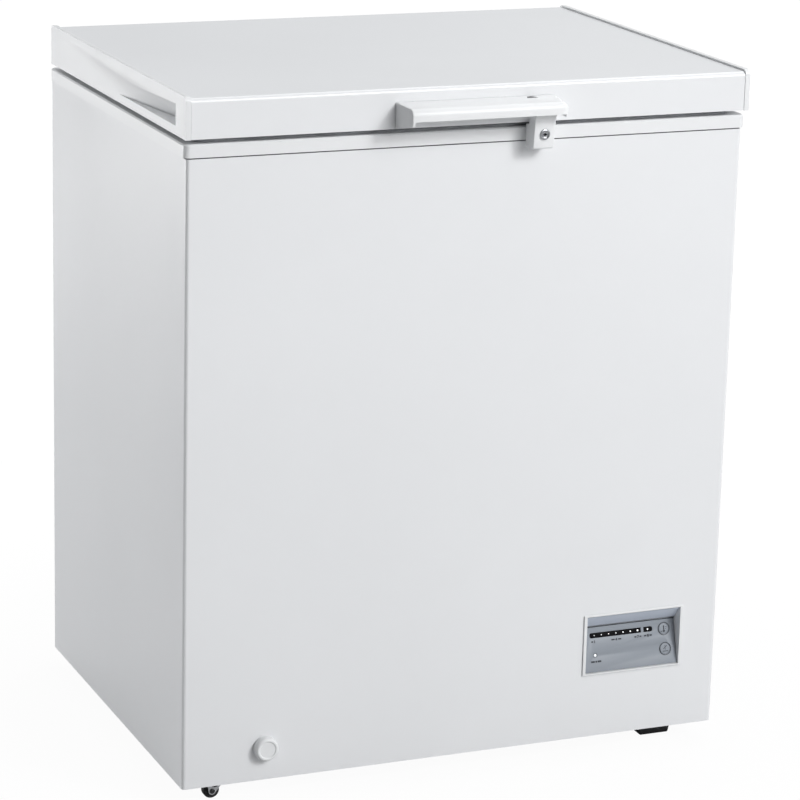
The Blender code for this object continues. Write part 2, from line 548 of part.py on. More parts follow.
# ------------------------------------------------------------------- the lid
T0, T1 = LID_Y0 + 0.5, LID_Y1 - 0.5
R = 5.5
out_l = [(T0, LID_BOT + 0.4)] + arc(T0 + R, PANEL_TOP - R, R, 180, 90, 4) + arc(T1 - R, PANEL_TOP - R, R, 90, 0, 4) + [(T1, LID_BOT + 0.4)]
in_l = [(T1 - SHEET, LID_BOT + 0.4)] + arc(T1 - R, PANEL_TOP - R, R - SHEET, 0, 90, 4) + arc(T0 + R, PANEL_TOP - R, R - SHEET, 90, 180, 4) + [(T0 + SHEET, LID_BOT + 0.4)]
P_HALF = LID_HALF - TRIM_W - GAP
lid_panel = prism("lid_panel", out_l + in_l, (-P_HALF, P_HALF), "X", M_STEEL)
SCREWS = (-78.0, 46.0)
for i, sx in enumerate(SCREWS):
    cut(lid_panel, ccyl("panel_screw_%d" % i, (sx, -7, 817), 2.3, 6, "Y", 12))

tr = 6.0
trim_pts = [(LID_Y0, LID_BOT)] + arc(LID_Y0 + tr, LID_TOP - tr, tr, 180, 90, 4) + arc(LID_Y1 - tr, LID_TOP - tr, tr, 90, 0, 4) + [(LID_Y1, LID_BOT)]
GRIP_D = 24.0
for tag, sg in (("left", -1), ("right", 1)):
    xs = sorted((sg * (LID_HALF - TRIM_W), sg * LID_HALF))
    trim = prism("lid_trim_" + tag, trim_pts, xs, "X", M_WHITE)
    bevel(trim, 1.2, 2)
    bx = sorted((sg * (LID_HALF - GRIP_D - 3.0), sg * (LID_HALF - TRIM_W + 1.5)))
    pocket = box("grip_pocket_" + tag, bx, (18, 242), (808, 844), None, CUTTERS)
    join(trim, pocket)
    o = sg * (LID_HALF + 1.5)
    grip = hull("cut_grip_" + tag, [(o, 26.8, 838.3), (o, 26.8, 811.5), (sg * (LID_HALF - GRIP_D), 26.8, 811.5), (o, 197, 832.0), (o, 245, 811.5)], None, CUTTERS)
    cut(trim, grip)

lf = box("lid_foam", (-P_HALF + 1.0, P_HALF - 1.0), (T0 + SHEET + GAP + 0.8, T1 - SHEET - GAP - 0.8), (803.4, PANEL_TOP - SHEET - 0.8), M_FOAM)
bevel(lf, 4.0, 2)
for sg in (-1, 1):
    bx = sorted((sg * (LID_HALF - GRIP_D - 3.6), sg * 360))
    cut(lf, cbox("foam_pocket_%d" % sg, bx, (17.4, 242.6), (807.4, 844.6)))
for i, sx in enumerate(SCREWS):
    cut(lf, ccyl("foam_screw_%d" % i, (sx, -2, 817), 2.3, 12, "Y", 12))

bm = bmesh.new()
bmesh.ops.create_grid(bm, x_segments=1, y_segments=1, size=0.5)
bmesh.ops.scale(bm, vec=Vector((2 * 341.0 * MM, 503.0 * MM, 1)), verts=bm.verts)
f0 = bm.faces[:]
bmesh.ops.inset_region(bm, faces=f0, thickness=0.062, depth=0.0, use_boundary=True)
bmesh.ops.inset_region(bm, faces=f0, thickness=0.010, depth=0.0, use_boundary=True)
bmesh.ops.translate(bm, vec=Vector((0, 0, -0.0095)), verts=list({v for f in f0 for v in f.verts}))
me = bpy.data.meshes.new("lid_liner")
bm.to_mesh(me)
bm.free()
liner = put(bpy.data.objects.new("lid_liner", me), M_WHITE)
liner.location = P(0, 251.5, 801.4)
bevel(liner, 3.0, 2, 20)
solidify(liner, 1.4, 1.0)

gasket = swept_ring("lid_gasket",
                    [(off, z, 6.0 + off * 0.7) for off, z in
                     ((0.0, 800.9), (13.0, 800.9), (13.0, 799.4), (10.2, 798.6), (11.6, 797.0), (11.6, 795.2), (1.4, 795.2), (1.4, 797.0), (2.8, 798.6), (0.0, 799.4))],
                    (-326.0, 326.0), (19.0, 484.0), M_SEAL)

# ---------------------------------------------------------------- the handle
# A hood open underneath: top, nose and two cheeks, with a back flange that is screwed to the lid.
hy = LID_Y0 - GAP
hood_pts = [(hy, 802.0), (hy, 832.3), (-37.0, 830.4)] + arc(-42.0, 822.4, 8.0, 80, 180, 5) + [(HANDLE_NOSE + 0.5, 812.0), (-47.5, 809.6)]
hood = prism("lid_handle", hood_pts, (-HANDLE_HALF, HANDLE_HALF), "X", M_GLOSS)
# ends taper a little towards the nose
for v in hood.data.vertices:
    w = hood.matrix_world @ v.co
    t = max(0.0, min(1.0, (hy - (w.y / MM + Y_SHIFT)) / 42.0))
    v.co.z -= math.copysign(4.0 * t * MM, v.co.z)
bevel(hood, 1.8, 2, 50)
inside = [(-12.0, 790.0), (-12.0, 828.4), (-36.0, 827.0)] + arc(-40.5, 821.0, 5.0, 80, 180, 4) + [(-45.5, 817.6), (-60.0, 815.4), (-60.0, 790.0)]
hollow = cprism("hood_hollow", inside, (-HANDLE_HALF + 7.4, HANDLE_HALF - 7.4), "X")
cut(hood, hollow, cbox("flange_foot", (-HANDLE_HALF + 7.4, HANDLE_HALF - 7.4), (-13, 0), (790, 806)))
cut(hood, hull("cut_notch", [(56.5, -10.0, 840), (70.5, -10.0, 840), (61.0, -16.0, 840), (56.5, -10.0, 826), (70.5, -10.0, 826), (61.0, -16.0, 826)], None, CUTTERS))
for i, sx in enumerate(SCREWS):
    cut(hood, ccyl("hood_screw_%d" % i, (sx, -10, 817), 2.3, 5, "Y", 12))
    turned("handle_screw_" + ("left", "right")[i], (sx, 0, 817),
           [(0, -14.6), (2.6, -14.4), (4.0, -13.2), (4.0, -12.3), (2.0, -12.3), (2.0, 7.0), (0.4, 9.4), (0, 9.4)], "Y", M_ZINC, 12)

# ------------------------------------------------------------------ the lock
lk = [(-4.6, 772.0), (-4.6, 799.0), (-12.3, 799.0), (-12.3, 827.6), (-34.0, 826.2), (-34.0, 816.0), (-29.2, 808.0), (-24.8, 774.0), (-23.4, 772.0)]
lock = prism("lock_housing", lk, (64.0, 91.0), "X", M_GLOSS)
bevel(lock, 1.2, 2, 50)
cut(lock, cbox("lock_pocket", (67.0, 88.0), (-19.0, 0.0), (765.0, 800.6)),
    ccyl("lock_bore", (LOCK_X, -24, LOCK_Z), 5.7, 12, "Y", 24), ccyl("lock_seat", (LOCK_X, -34.5, LOCK_Z), 6.5, 8, "Y", 24))
barrel = turned("lock_cylinder", (LOCK_X, 0, LOCK_Z),
                [(0, -28.4), (5.8, -28.4), (6.2, -28.0), (6.2, -27.0), (5.4, -26.9), (5.4, -14.3), (3.0, -14.3), (3.0, -13.1), (0, -13.1)], "Y", M_ZINC, 24)
cut(barrel, cbox("keyway", (LOCK_X - 3.4, LOCK_X + 3.4), (-32, -22), (LOCK_Z - 0.8, LOCK_Z + 0.8)))
cam_pts = [(LOCK_X + 4.0, LOCK_Z - 5.0), (LOCK_X + 4.0, LOCK_Z)] + [(LOCK_X + 4.0 * math.cos(math.radians(a)), LOCK_Z + 4.0 * math.sin(math.radians(a))) for a in (45, 90, 135)] + \
          [(LOCK_X - 4.0, LOCK_Z), (LOCK_X - 4.0, LOCK_Z - 5.0)] + [(LOCK_X + 4.0 * math.cos(math.radians(a)), LOCK_Z - 5.3 + 4.0 * math.sin(math.radians(a))) for a in (215, 250, 290, 325)]
cam = prism("lock_cam", cam_pts, (-12.8, -11.2), "Y", M_ZINC)
keeper = box("lock_keeper", (67.6, 87.4), (-3.5, -2.1), (781.0, 795.4), M_ZINC)
join(keeper, box("keeper_lip", (67.6, 71.2), (-13.2, -2.6), (794.1, 795.4), None, CUTTERS))

# -------------------------------------------------------------- lid hinges
for tag, hx in (("left", -HINGE_X), ("right", HINGE_X)):
    leaf_pts = [(518.3, 730.0), (520.3, 730.0), (520.3, 791.0)] + arc(PIN_Y, PIN_Z, KNUCKLE_R, -100, 180, 12) + [(518.35, 797.0)]
    leaf = prism("hinge_%s_leaf" % tag, leaf_pts, (hx - 20, hx + 20), "X", M_ZINC)
    cut(leaf, cbox("leaf_notch_" + tag, (hx - 7.8, hx + 7.8), (510, 540), (784, 820)),
        ccyl("leaf_bore_" + tag, (hx, PIN_Y, PIN_Z), 2.55, 30, "X", 16))
    arm_pts = [(510.1, 806.0), (510.1, 842.0), (512.1, 842.0), (512.1, 813.0), (521.0, 807.2)] + arc(PIN_Y, PIN_Z, 5.6, 100, -185, 12) + [(513.5, 803.6)]
    arm = prism("hinge_%s_arm" % tag, arm_pts, (hx - 20, hx + 20), "X", M_ZINC)
    cut(arm, cbox("arm_notch_a_" + tag, (hx - 21, hx - 7.5), (505, 540), (790, 812)),
        cbox("arm_notch_b_" + tag, (hx + 7.5, hx + 21), (505, 540), (790, 812)),
        ccyl("arm_bore_" + tag, (hx, PIN_Y, PIN_Z), 2.55, 30, "X", 16))
    turned("hinge_%s_pin" % tag, (hx, PIN_Y, PIN_Z), [(0, -23.0), (3.6, -23.0), (3.6, -20.4), (2.25, -20.3), (2.25, 35.0), (1.6, 36.0), (0, 36.0)], "X", M_ZINC, 14)
    helix = [(hx + 33.0, 519.9, 778.0), (hx + 33.0, 519.9, 790.0), (hx + 33.0, 520.2, 797.5)]
    for k in range(0, 41):
        a = math.radians(180 - 36 * k)
        helix.append((hx + 33.0 - 11.0 * k / 40, PIN_Y + 3.95 * math.cos(a), PIN_Z + 3.95 * math.sin(a)))
    tube("hinge_%s_spring" % tag, helix, 0.95, M_ZINC, 2)

# ----------------------------------------------------------- storage basket
B_X0, B_X1 = 82.0, 272.0
bm = bmesh.new()
bmesh.ops.create_cube(bm, size=1.0)
bmesh.ops.scale(bm, vec=Vector(((B_X1 - B_X0) * MM, (450 - 68) * MM, 189 * MM)), verts=bm.verts)
topf = [f for f in bm.faces if f.normal.z > 0.9]
bmesh.ops.delete(bm, geom=topf, context="FACES_ONLY")
for v in bm.verts:
    if v.co.z < 0:
        v.co.x *= 0.90
        v.co.y *= 0.94
for sg in (-1, 1):
    es = [e for e in bm.edges if e.is_boundary and all(v.co.z > 0 for v in e.verts) and all(v.co.y * sg > 0.15 for v in e.verts)
          and abs(e.verts[0].co.y - e.verts[1].co.y) < 1e-6]
    ext = bmesh.ops.extrude_edge_only(bm, edges=es)
    nv = [g for g in ext["geom"] if isinstance(g, bmesh.types.BMVert)]
    bmesh.ops.translate(bm, vec=Vector((0, sg * 0.020, 0)), verts=nv)
bmesh.ops.recalc_face_normals(bm, faces=bm.faces[:])
me = bpy.data.meshes.new("storage_basket")
bm.to_mesh(me)
bm.free()
basket = put(bpy.data.objects.new("storage_basket", me), M_WIRE)
basket.location = P((B_X0 + B_X1) / 2, 259, 789.6 - 189 / 2)
solidify(basket, 2.4, 0.0)
basket.modifiers["sheet"].use_quality_normals = True

bpy.context.view_layer.update()


# ------------------------------------------------------------ moving groups
def group(name, at, pieces, parent=None):
    """An empty on a joint's axis that carries the pieces (and their cutters) which move about it."""
    empty = bpy.data.objects.new(name, None)
    empty.empty_display_size = 0.03
    PARTS.objects.link(empty)
    empty.location = P(*at)
    bpy.context.view_layer.update()
    if parent is not None:
        empty.parent = parent
        empty.matrix_parent_inverse = parent.matrix_world.inverted()
    todo = [bpy.data.objects[n] for n in pieces]
    while todo:
        ob = todo.pop()
        if ob.parent is not None:
            continue
        ob.parent = empty
        ob.matrix_parent_inverse = empty.matrix_world.inverted()
        todo += [m.object for m in ob.modifiers if m.type == "BOOLEAN"]
    return empty


lid_axis = group("lid_axis", (0, PIN_Y, PIN_Z),
                 ["lid_panel", "lid_trim_left", "lid_trim_right", "lid_foam", "lid_liner", "lid_gasket", "lid_handle",
                  "handle_screw_left", "handle_screw_right", "lock_housing", "hinge_left_arm", "hinge_right_arm"])
group("lock_axis", (LOCK_X, -20, LOCK_Z), ["lock_cylinder", "lock_cam"], lid_axis)
group("button_temperature_guide", (BTN_X, REC_A[0] + BTN_S[0] * math.sin(slope), REC_A[1] + BTN_S[0] * math.cos(slope)), ["button_temperature"])
group("button_fast_freeze_guide", (BTN_X, REC_A[0] + BTN_S[1] * math.sin(slope), REC_A[1] + BTN_S[1] * math.cos(slope)), ["button_fast_freeze"])
spout_guide = group("drain_spout_guide", (DRAIN_X, 0, DRAIN_Z), ["drain_spout"])
group("drain_knob_axis", (DRAIN_X, -6, DRAIN_Z), ["drain_knob"], spout_guide)
group("drain_plug_guide", (DRAIN_X, 110, CAV_FLOOR), ["drain_plug"])
group("basket_guide", ((B_X0 + B_X1) / 2, 259, LEDGE_Z), ["storage_basket"])
for tag, cy in (("front", CASTOR_Y[0]), ("rear", CASTOR_Y[1])):
    swivel = group("castor_%s_swivel" % tag, (CASTOR_X, cy, 22.0), ["castor_%s_fork" % tag])
    group("castor_%s_roll" % tag, (CASTOR_X - 5.5, cy, 10.0), ["castor_%s_wheel" % tag], swivel)

bpy.context.view_layer.update()
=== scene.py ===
"""The looks of the chest freezer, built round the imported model.

Everything is in metres in the part's own frame: +Z up, the front faces -Y.
MM turns the millimetre tables below into metres; y in them is counted from the
cabinet's front face, as on a drawing, and P() shifts it.
"""
import json
import math

import bmesh
import bpy
from mathutils import Matrix, Vector


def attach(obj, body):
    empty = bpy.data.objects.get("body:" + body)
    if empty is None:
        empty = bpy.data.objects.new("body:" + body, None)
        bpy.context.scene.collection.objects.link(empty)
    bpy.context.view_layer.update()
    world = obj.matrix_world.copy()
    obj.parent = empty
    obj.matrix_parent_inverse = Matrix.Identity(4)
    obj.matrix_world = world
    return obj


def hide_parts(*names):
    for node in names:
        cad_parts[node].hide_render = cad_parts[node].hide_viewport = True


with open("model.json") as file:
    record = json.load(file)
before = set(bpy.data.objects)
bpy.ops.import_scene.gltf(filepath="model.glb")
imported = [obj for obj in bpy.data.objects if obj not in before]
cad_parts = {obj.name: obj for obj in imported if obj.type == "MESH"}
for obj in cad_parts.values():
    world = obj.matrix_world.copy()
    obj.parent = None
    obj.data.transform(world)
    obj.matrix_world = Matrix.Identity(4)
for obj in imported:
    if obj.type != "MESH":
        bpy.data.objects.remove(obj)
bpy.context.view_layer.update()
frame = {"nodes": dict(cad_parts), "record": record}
NODES = frame["nodes"]
MM = 0.001
Y_SHIFT = 240.0


def P(x, y, z):
    return Vector((x * MM, (y - Y_SHIFT) * MM, z * MM))


# =================================================================== materials
def srgb(r, g, b):
    def lin(c):
        c /= 255.0
        return c / 12.92 if c <= 0.04045 else ((c + 0.055) / 1.055) ** 2.4
    return (lin(r), lin(g), lin(b))


class Mat:
    """A Principled material with its node helpers."""

    def __init__(self, name, rough=0.4, metallic=0.0, specular=0.5, coat=0.0, coat_rough=0.1, ior=1.5):
        self.m = bpy.data.materials.new(name)
        self.m.use_nodes = True
        self.t = self.m.node_tree
        self.b = self.t.nodes["Principled BSDF"]
        i = self.b.inputs
        i["Roughness"].default_value = rough
        i["Metallic"].default_value = metallic
        i["Specular IOR Level"].default_value = specular
        i["IOR"].default_value = ior
        i["Coat Weight"].default_value = coat
        i["Coat Roughness"].default_value = coat_rough
        self.co = self.t.nodes.new("ShaderNodeTexCoord")
        self.bump_from = None

    def link(self, a, b):
        self.t.links.new(a, b)

    def coords(self, scale=(1, 1, 1), rot=(0, 0, 0)):
        mp = self.t.nodes.new("ShaderNodeMapping")
        mp.inputs["Scale"].default_value = scale
        mp.inputs["Rotation"].default_value = rot
        self.link(self.co.outputs["Object"], mp.inputs["Vector"])
        return mp.outputs["Vector"]

    def noise(self, scale, detail=2.0, rough=0.5, stretch=(1, 1, 1), rot=(0, 0, 0), distort=0.0):
        n = self.t.nodes.new("ShaderNodeTexNoise")
        n.inputs["Scale"].default_value = scale
        n.inputs["Detail"].default_value = detail
        n.inputs["Roughness"].default_value = rough
        n.inputs["Distortion"].default_value = distort
        self.link(self.coords(stretch, rot), n.inputs["Vector"])
        return n.outputs["Fac"]

    def cells(self, scale, feature="F1", out="Distance", stretch=(1, 1, 1)):
        n = self.t.nodes.new("ShaderNodeTexVoronoi")
        n.feature = feature
        n.inputs["Scale"].default_value = scale
        self.link(self.coords(stretch), n.inputs["Vector"])
        return n.outputs[out]

    def ramp(self, fac, stops):
        r = self.t.nodes.new("ShaderNodeValToRGB")
        r.color_ramp.elements[0].position, r.color_ramp.elements[0].color = stops[0][0], (*stops[0][1], 1)
        r.color_ramp.elements[1].position, r.color_ramp.elements[1].color = stops[-1][0], (*stops[-1][1], 1)
        for p, c in stops[1:-1]:
            e = r.color_ramp.elements.new(p)
            e.color = (*c, 1)
        self.link(fac, r.inputs["Fac"])
        return r.outputs["Color"]

    def range(self, fac, lo, hi, a=0.0, b=1.0):
        r = self.t.nodes.new("ShaderNodeMapRange")
        r.inputs["From Min"].default_value = a
        r.inputs["From Max"].default_value = b
        r.inputs["To Min"].default_value = lo
        r.inputs["To Max"].default_value = hi
        self.link(fac, r.inputs["Value"])
        return r.outputs["Result"]

    def mix(self, fac, a, b, kind="MIX"):
        n = self.t.nodes.new("ShaderNodeMix")
        n.data_type = "RGBA"
        n.blend_type = kind
        for s, v in ((n.inputs[0], fac), (n.inputs[6], a), (n.inputs[7], b)):
            if isinstance(v, bpy.types.NodeSocket):
                self.link(v, s)
            elif isinstance(v, tuple):
                s.default_value = (*v, 1) if len(v) == 3 else v
            else:
                s.default_value = v
        return n.outputs[2]

    def colour(self, socket):
        self.link(socket, self.b.inputs["Base Color"])

    def roughness(self, socket):
        self.link(socket, self.b.inputs["Roughness"])

    def bump(self, height, strength, distance):
        n = self.t.nodes.new("ShaderNodeBump")
        n.inputs["Strength"].default_value = strength
        n.inputs["Distance"].default_value = distance
        self.link(height, n.inputs["Height"])
        if self.bump_from is not None:
            self.link(self.bump_from, n.inputs["Normal"])
        self.bump_from = n.outputs["Normal"]
        self.link(self.bump_from, self.b.inputs["Normal"])


def tint(c, k):
    return tuple(max(0.0, min(1.0, v * k)) for v in c)


def coated_steel(name, base, rough=0.30, peel=0.10):
    """Pre-painted sheet: faint cloudiness, and an orange peel seen only in its reflections."""
    m = Mat(name, rough=rough, specular=0.5, coat=0.15, coat_rough=0.12)
    m.colour(m.ramp(m.noise(3.2, 3.0, 0.55), [(0.3, tint(base, 0.985)), (0.7, tint(base, 1.012))]))
    m.roughness(m.range(m.noise(5.0, 1.0, 0.5), rough - 0.03, rough + 0.05, 0.1, 0.9))
    m.bump(m.noise(55.0, 1.0, 0.5), peel * 0.15, 0.00015)
    return m.m


def moulded(name, base, rough=0.34, grain=0.10, scale=1500.0, coat=0.0, spec=0.5):
    """Injection-moulded plastic: flow clouding and a fine sparked grain."""
    m = Mat(name, rough=rough, specular=spec, coat=coat, coat_rough=0.08)
    m.colour(m.ramp(m.noise(7.0, 2.0, 0.5, (1, 1, 0.4)), [(0.3, tint(base, 0.985)), (0.7, tint(base, 1.01))]))
    m.roughness(m.range(m.noise(30.0, 1.0, 0.5), rough - 0.03, rough + 0.05, 0.1, 0.9))
    m.bump(m.noise(scale, 2.0, 0.55), grain * 0.35, 0.00008)
    return m.m


def metal(name, base, rough=0.34, brushed=(1, 1, 1), amount=0.12, spangle=0.0):
    """Plated or drawn metal with a fine directional grain; spangle adds zinc crystals."""
    m = Mat(name, rough=rough, metallic=1.0)
    tone = m.ramp(m.noise(9.0, 3.0, 0.6), [(0.3, tint(base, 0.93)), (0.7, tint(base, 1.05))])
    if spangle:
        cells = m.t.nodes.new("ShaderNodeTexVoronoi")
        cells.inputs["Scale"].default_value = 95.0
        m.link(m.coords(), cells.inputs["Vector"])
        tone = m.mix(spangle, tone, m.ramp(cells.outputs["Color"], [(0.2, tint(base, 0.72)), (0.8, tint(base, 1.18))]))
    m.colour(tone)
    grain = m.noise(900.0, 3.0, 0.6, brushed)
    m.roughness(m.range(grain, rough - 0.08, rough + 0.14, 0.3, 0.7))
    m.bump(grain, amount, 0.00008)
    return m.m


def rubber(name, base, rough=0.72):
    m = Mat(name, rough=rough, specular=0.35)
    m.colour(m.ramp(m.noise(40.0, 3.0, 0.6), [(0.3, tint(base, 0.85)), (0.7, tint(base, 1.25))]))
    m.roughness(m.range(m.noise(160.0, 3.0, 0.6), rough - 0.1, rough + 0.12, 0.3, 0.7))
    m.bump(m.noise(2400.0, 2.0, 0.6), 0.22, 0.0001)
    return m.m


WHITE = (0.775, 0.785, 0.80)
STEEL = coated_steel("white_coated_steel", WHITE)
STEEL_REAR = coated_steel("white_coated_steel_rear", tint(WHITE, 0.97), 0.42, 0.14)
PLASTIC = moulded("white_plastic", (0.77, 0.78, 0.79), 0.36)
GLOSS = moulded("white_gloss_plastic", (0.79, 0.80, 0.81), 0.40, 0.02, 1200.0, 0.0)
TUB = coated_steel("tub_white", (0.80, 0.81, 0.83), 0.36, 0.22)
ZINC = metal("zinc_plated_steel", (0.60, 0.61, 0.63), 0.36, (1, 1, 6))
GALV = metal("galvanised_sheet", (0.58, 0.60, 0.62), 0.42, (1, 1, 1), 0.10, 0.55)
NICKEL = metal("nickel_plate", (0.40, 0.41, 0.43), 0.30, (1, 4, 1), 0.06)
COPPER = metal("copper_tube", (0.74, 0.42, 0.27), 0.30, (1, 1, 1))
ALU = metal("aluminium_tube", (0.76, 0.77, 0.78), 0.38, (1, 1, 1))
BLACK = moulded("black_plastic", (0.018, 0.018, 0.020), 0.42, 0.25, 1300.0)
BLACKPAINT = coated_steel("black_painted_steel", (0.016, 0.016, 0.018), 0.34, 0.30)
RUBBER = rubber("black_rubber", (0.018, 0.018, 0.019))
SEAL = rubber("seal_rubber", (0.34, 0.35, 0.37), 0.6)
SILVER = moulded("silver_faceplate", (0.265, 0.29, 0.325), 0.42, 0.05, 2200.0, 0.0, 0.35)
LENS = moulded("smoked_lens", (0.005, 0.005, 0.006), 0.5, 0.02, 900.0, 0.0, 0.06)
# ink for the panel's print, also drawn as a painted shadow line under the recess's ceiling
INK_AND_SHADOW = moulded("panel_ink_and_painted_shadow", (0.03, 0.035, 0.045), 0.55, 0.05)
BOARD = moulded("circuit_board", (0.03, 0.20, 0.09), 0.45, 0.08)


def foam_material():
    m = Mat("polyurethane_foam", rough=0.9, specular=0.2)
    base = (0.80, 0.68, 0.40)
    m.colour(m.ramp(m.noise(18.0, 4.0, 0.6), [(0.3, tint(base, 0.85)), (0.7, tint(base, 1.08))]))
    m.roughness(m.range(m.noise(90.0, 2.0), 0.8, 1.0))
    m.bump(m.cells(520.0), 0.5, 0.0006)
    return m.m


def wire_material():
    m = Mat("coated_wire", rough=0.32, specular=0.5, coat=0.2, coat_rough=0.1)
    base = (0.80, 0.81, 0.82)
    m.colour(m.ramp(m.noise(25.0, 2.0), [(0.3, tint(base, 0.975)), (0.7, tint(base, 1.01))]))
    m.roughness(m.range(m.noise(120.0, 3.0), 0.26, 0.4))
    m.bump(m.noise(700.0, 2.0), 0.12, 0.0001)
    return m.m


def lamp_material():
    m = Mat("clear_lens", rough=0.18, specular=0.5)
    m.colour(m.ramp(m.noise(300.0, 2.0), [(0.3, (0.80, 0.82, 0.84)), (0.7, (0.86, 0.87, 0.88))]))
    m.roughness(m.range(m.noise(400.0, 2.0), 0.12, 0.24))
    return m.m


FOAM, WIRE, CLEAR = foam_material(), wire_material(), lamp_material()
# bluish grey of the recess's ceiling: painted shade
SOFFIT_SHADE_GREY = moulded("soffit_painted_shade_grey", (0.56, 0.61, 0.70), 0.45, 0.05, 2200.0, 0.0, 0.3)
# dark grey laid in gaps and recesses: painted shade
PAINTED_SHADE_DARK = rubber("painted_shade_dark_grey", (0.16, 0.16, 0.165), 0.8)
GREYMETAL = metal("castor_zinc", (0.66, 0.67, 0.69), 0.40, (1, 1, 1), 0.05)
GLOW = lamp_material()
GLOW.name = "lit_lens"
GLOW.node_tree.nodes["Principled BSDF"].inputs["Emission Color"].default_value = (1.0, 1.0, 1.0, 1.0)
GLOW.node_tree.nodes["Principled BSDF"].inputs["Emission Strength"].default_value = 0.45

CAD_LOOKS = {
    "white_steel": STEEL, "rear_steel": STEEL_REAR, "zinc_steel": ZINC, "lock_metal": NICKEL, "white_plastic": PLASTIC,
    "white_gloss_plastic": GLOSS, "tub_plastic": TUB, "insulation_foam": FOAM, "black_rubber": RUBBER, "seal_rubber": SEAL,
    "black_plastic": BLACK, "black_steel": BLACKPAINT, "copper_tube": COPPER, "aluminium_tube": ALU, "silver_plate": SILVER,
    "smoked_lens": LENS, "clear_lens": CLEAR, "circuit_board": BOARD, "coated_wire": WIRE,
}
slot_of = {s["node"]: s["material_slot"] for s in frame["record"]["subparts"]}
for name, ob in NODES.items():
    me = ob.data
    look = CAD_LOOKS[slot_of[name]]
    if name in ("base_pan", "machine_bay_panel"):
        look = GALV
    for i in range(len(me.materials)):
        me.materials[i] = look
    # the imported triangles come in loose: weld them, split true edges, and weight the normals by area
    if me.has_custom_normals:
        bpy.context.view_layer.objects.active = ob
        ob.select_set(True)
        bpy.ops.mesh.customdata_custom_splitnormals_clear()
        ob.select_set(False)
    me.polygons.foreach_set("use_smooth", [True] * len(me.polygons))
    for key in ("sharp_edge", "sharp_face"):
        if key in me.attributes:
            me.attributes.remove(me.attributes[key])
    w = ob.modifiers.new("weld", "WELD")
    w.merge_threshold = 0.000002
    e = ob.modifiers.new("edges", "EDGE_SPLIT")
    e.split_angle = math.radians(31)
    n = ob.modifiers.new("normals", "WEIGHTED_NORMAL")
    n.mode = "FACE_AREA"
    n.weight = 80

# ======================================================================= pieces
def add(name, me, mat, body, replaces=(), smooth=True, angle=35):
    """Puts a finished mesh in the scene, shaded, and hung on its body."""
    ob = bpy.data.objects.new(name, me)
    bpy.context.scene.collection.objects.link(ob)
    me.materials.clear()
    me.materials.append(mat)
    if smooth:
        me.polygons.foreach_set("use_smooth", [True] * len(me.polygons))
        me.set_sharp_from_angle(angle=math.radians(angle))
    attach(ob, body)
    if replaces:
        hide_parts(*replaces)
    return ob


def mesh_of(bm, name):
    bmesh.ops.recalc_face_normals(bm, faces=bm.faces[:])
    if bm.calc_volume(signed=True) < 0:
        bmesh.ops.reverse_faces(bm, faces=bm.faces[:])
    me = bpy.data.meshes.new(name)
    bm.to_mesh(me)
    bm.free()
    return me


def loft(sections):
    """A closed skin through closed sections of the same number of points."""
    bm = bmesh.new()
    rows = [[bm.verts.new(p) for p in s] for s in sections]
    n = len(rows[0])
    for a, b in zip(rows, rows[1:]):
        for i in range(n):
            bm.faces.new((a[i], a[(i + 1) % n], b[(i + 1) % n], b[i]))
    bm.faces.new(rows[0])
    bm.faces.new(rows[-1][::-1])
    return bm


SL = math.atan2(15.0, 55.2)          # lean of the control faceplate


def on_slope(x, s, d):
    """Across and up the leaning faceplate, d behind its front, to the part's frame."""
    return P(x, 1.0 + d * math.cos(SL) + s * math.sin(SL), 107.3 - d * math.sin(SL) + s * math.cos(SL))


def along_y(x, z):
    return lambda u, v, d: P(x + u, d, z + v)


def along_z(x, y):
    return lambda u, v, d: P(x + u, y + v, d)


def lathe(profile, to_world, n=64):
    """Turns (radius, distance) pairs about an axis; to_world takes across, up and along."""
    bm = bmesh.new()
    rings = []
    for r, d in profile:
        if r < 1e-6:
            rings.append([bm.verts.new(to_world(0, 0, d))])
        else:
            rings.append([bm.verts.new(to_world(r * math.cos(2 * math.pi * i / n), r * math.sin(2 * math.pi * i / n), d)) for i in range(n)])
    for a, b in zip(rings, rings[1:]):
        for i in range(n):
            j = (i + 1) % n
            if len(a) == 1 and len(b) > 1:
                bm.faces.new((a[0], b[j], b[i]))
            elif len(b) == 1 and len(a) > 1:
                bm.faces.new((a[i], a[j], b[0]))
            elif len(a) > 1:
                bm.faces.new((a[i], a[j], b[j], b[i]))
    return bm


def fillet(points, r, n=5, closed=False):
    """Rounds the corners of a polyline of (a, b) pairs; r is one radius or one for each corner."""
    out = []
    m = len(points)
    for i, p in enumerate(points):
        if not closed and i in (0, m - 1):
            out.append(p)
            continue
        rr = r[i] if isinstance(r, (list, tuple)) else r
        a, b, c = Vector(points[i - 1]), Vector(p), Vector(points[(i + 1) % m])
        u, v = (a - b), (c - b)
        lu, lv = u.length, v.length
        if rr <= 0 or lu < 1e-9 or lv < 1e-9:
            out.append(p)
            continue
        u, v = u / lu, v / lv
        ang = math.acos(max(-1.0, min(1.0, u.dot(v))))
        t = min(rr / max(math.tan(ang / 2), 1e-6), lu * 0.49, lv * 0.49)
        for k in range(n + 1):
            w = k / n
            q = (b + u * t) * (1 - w) ** 2 + b * 2 * w * (1 - w) + (b + v * t) * w ** 2
            out.append((q.x, q.y))
    return out


def circle(x, s, r, n=40, rev=False):
    pts = [(x + r * math.cos(2 * math.pi * i / n), s + r * math.sin(2 * math.pi * i / n)) for i in range(n)]
    return pts[::-1] if rev else pts


def slab(x0, x1, s0, s1, r=(0, 0, 0, 0)):
    """A rectangle with its own radius at each corner, from the lower left, counter-clockwise."""
    return fillet([(x0, s0), (x1, s0), (x1, s1), (x0, s1)], list(r), 8, True)


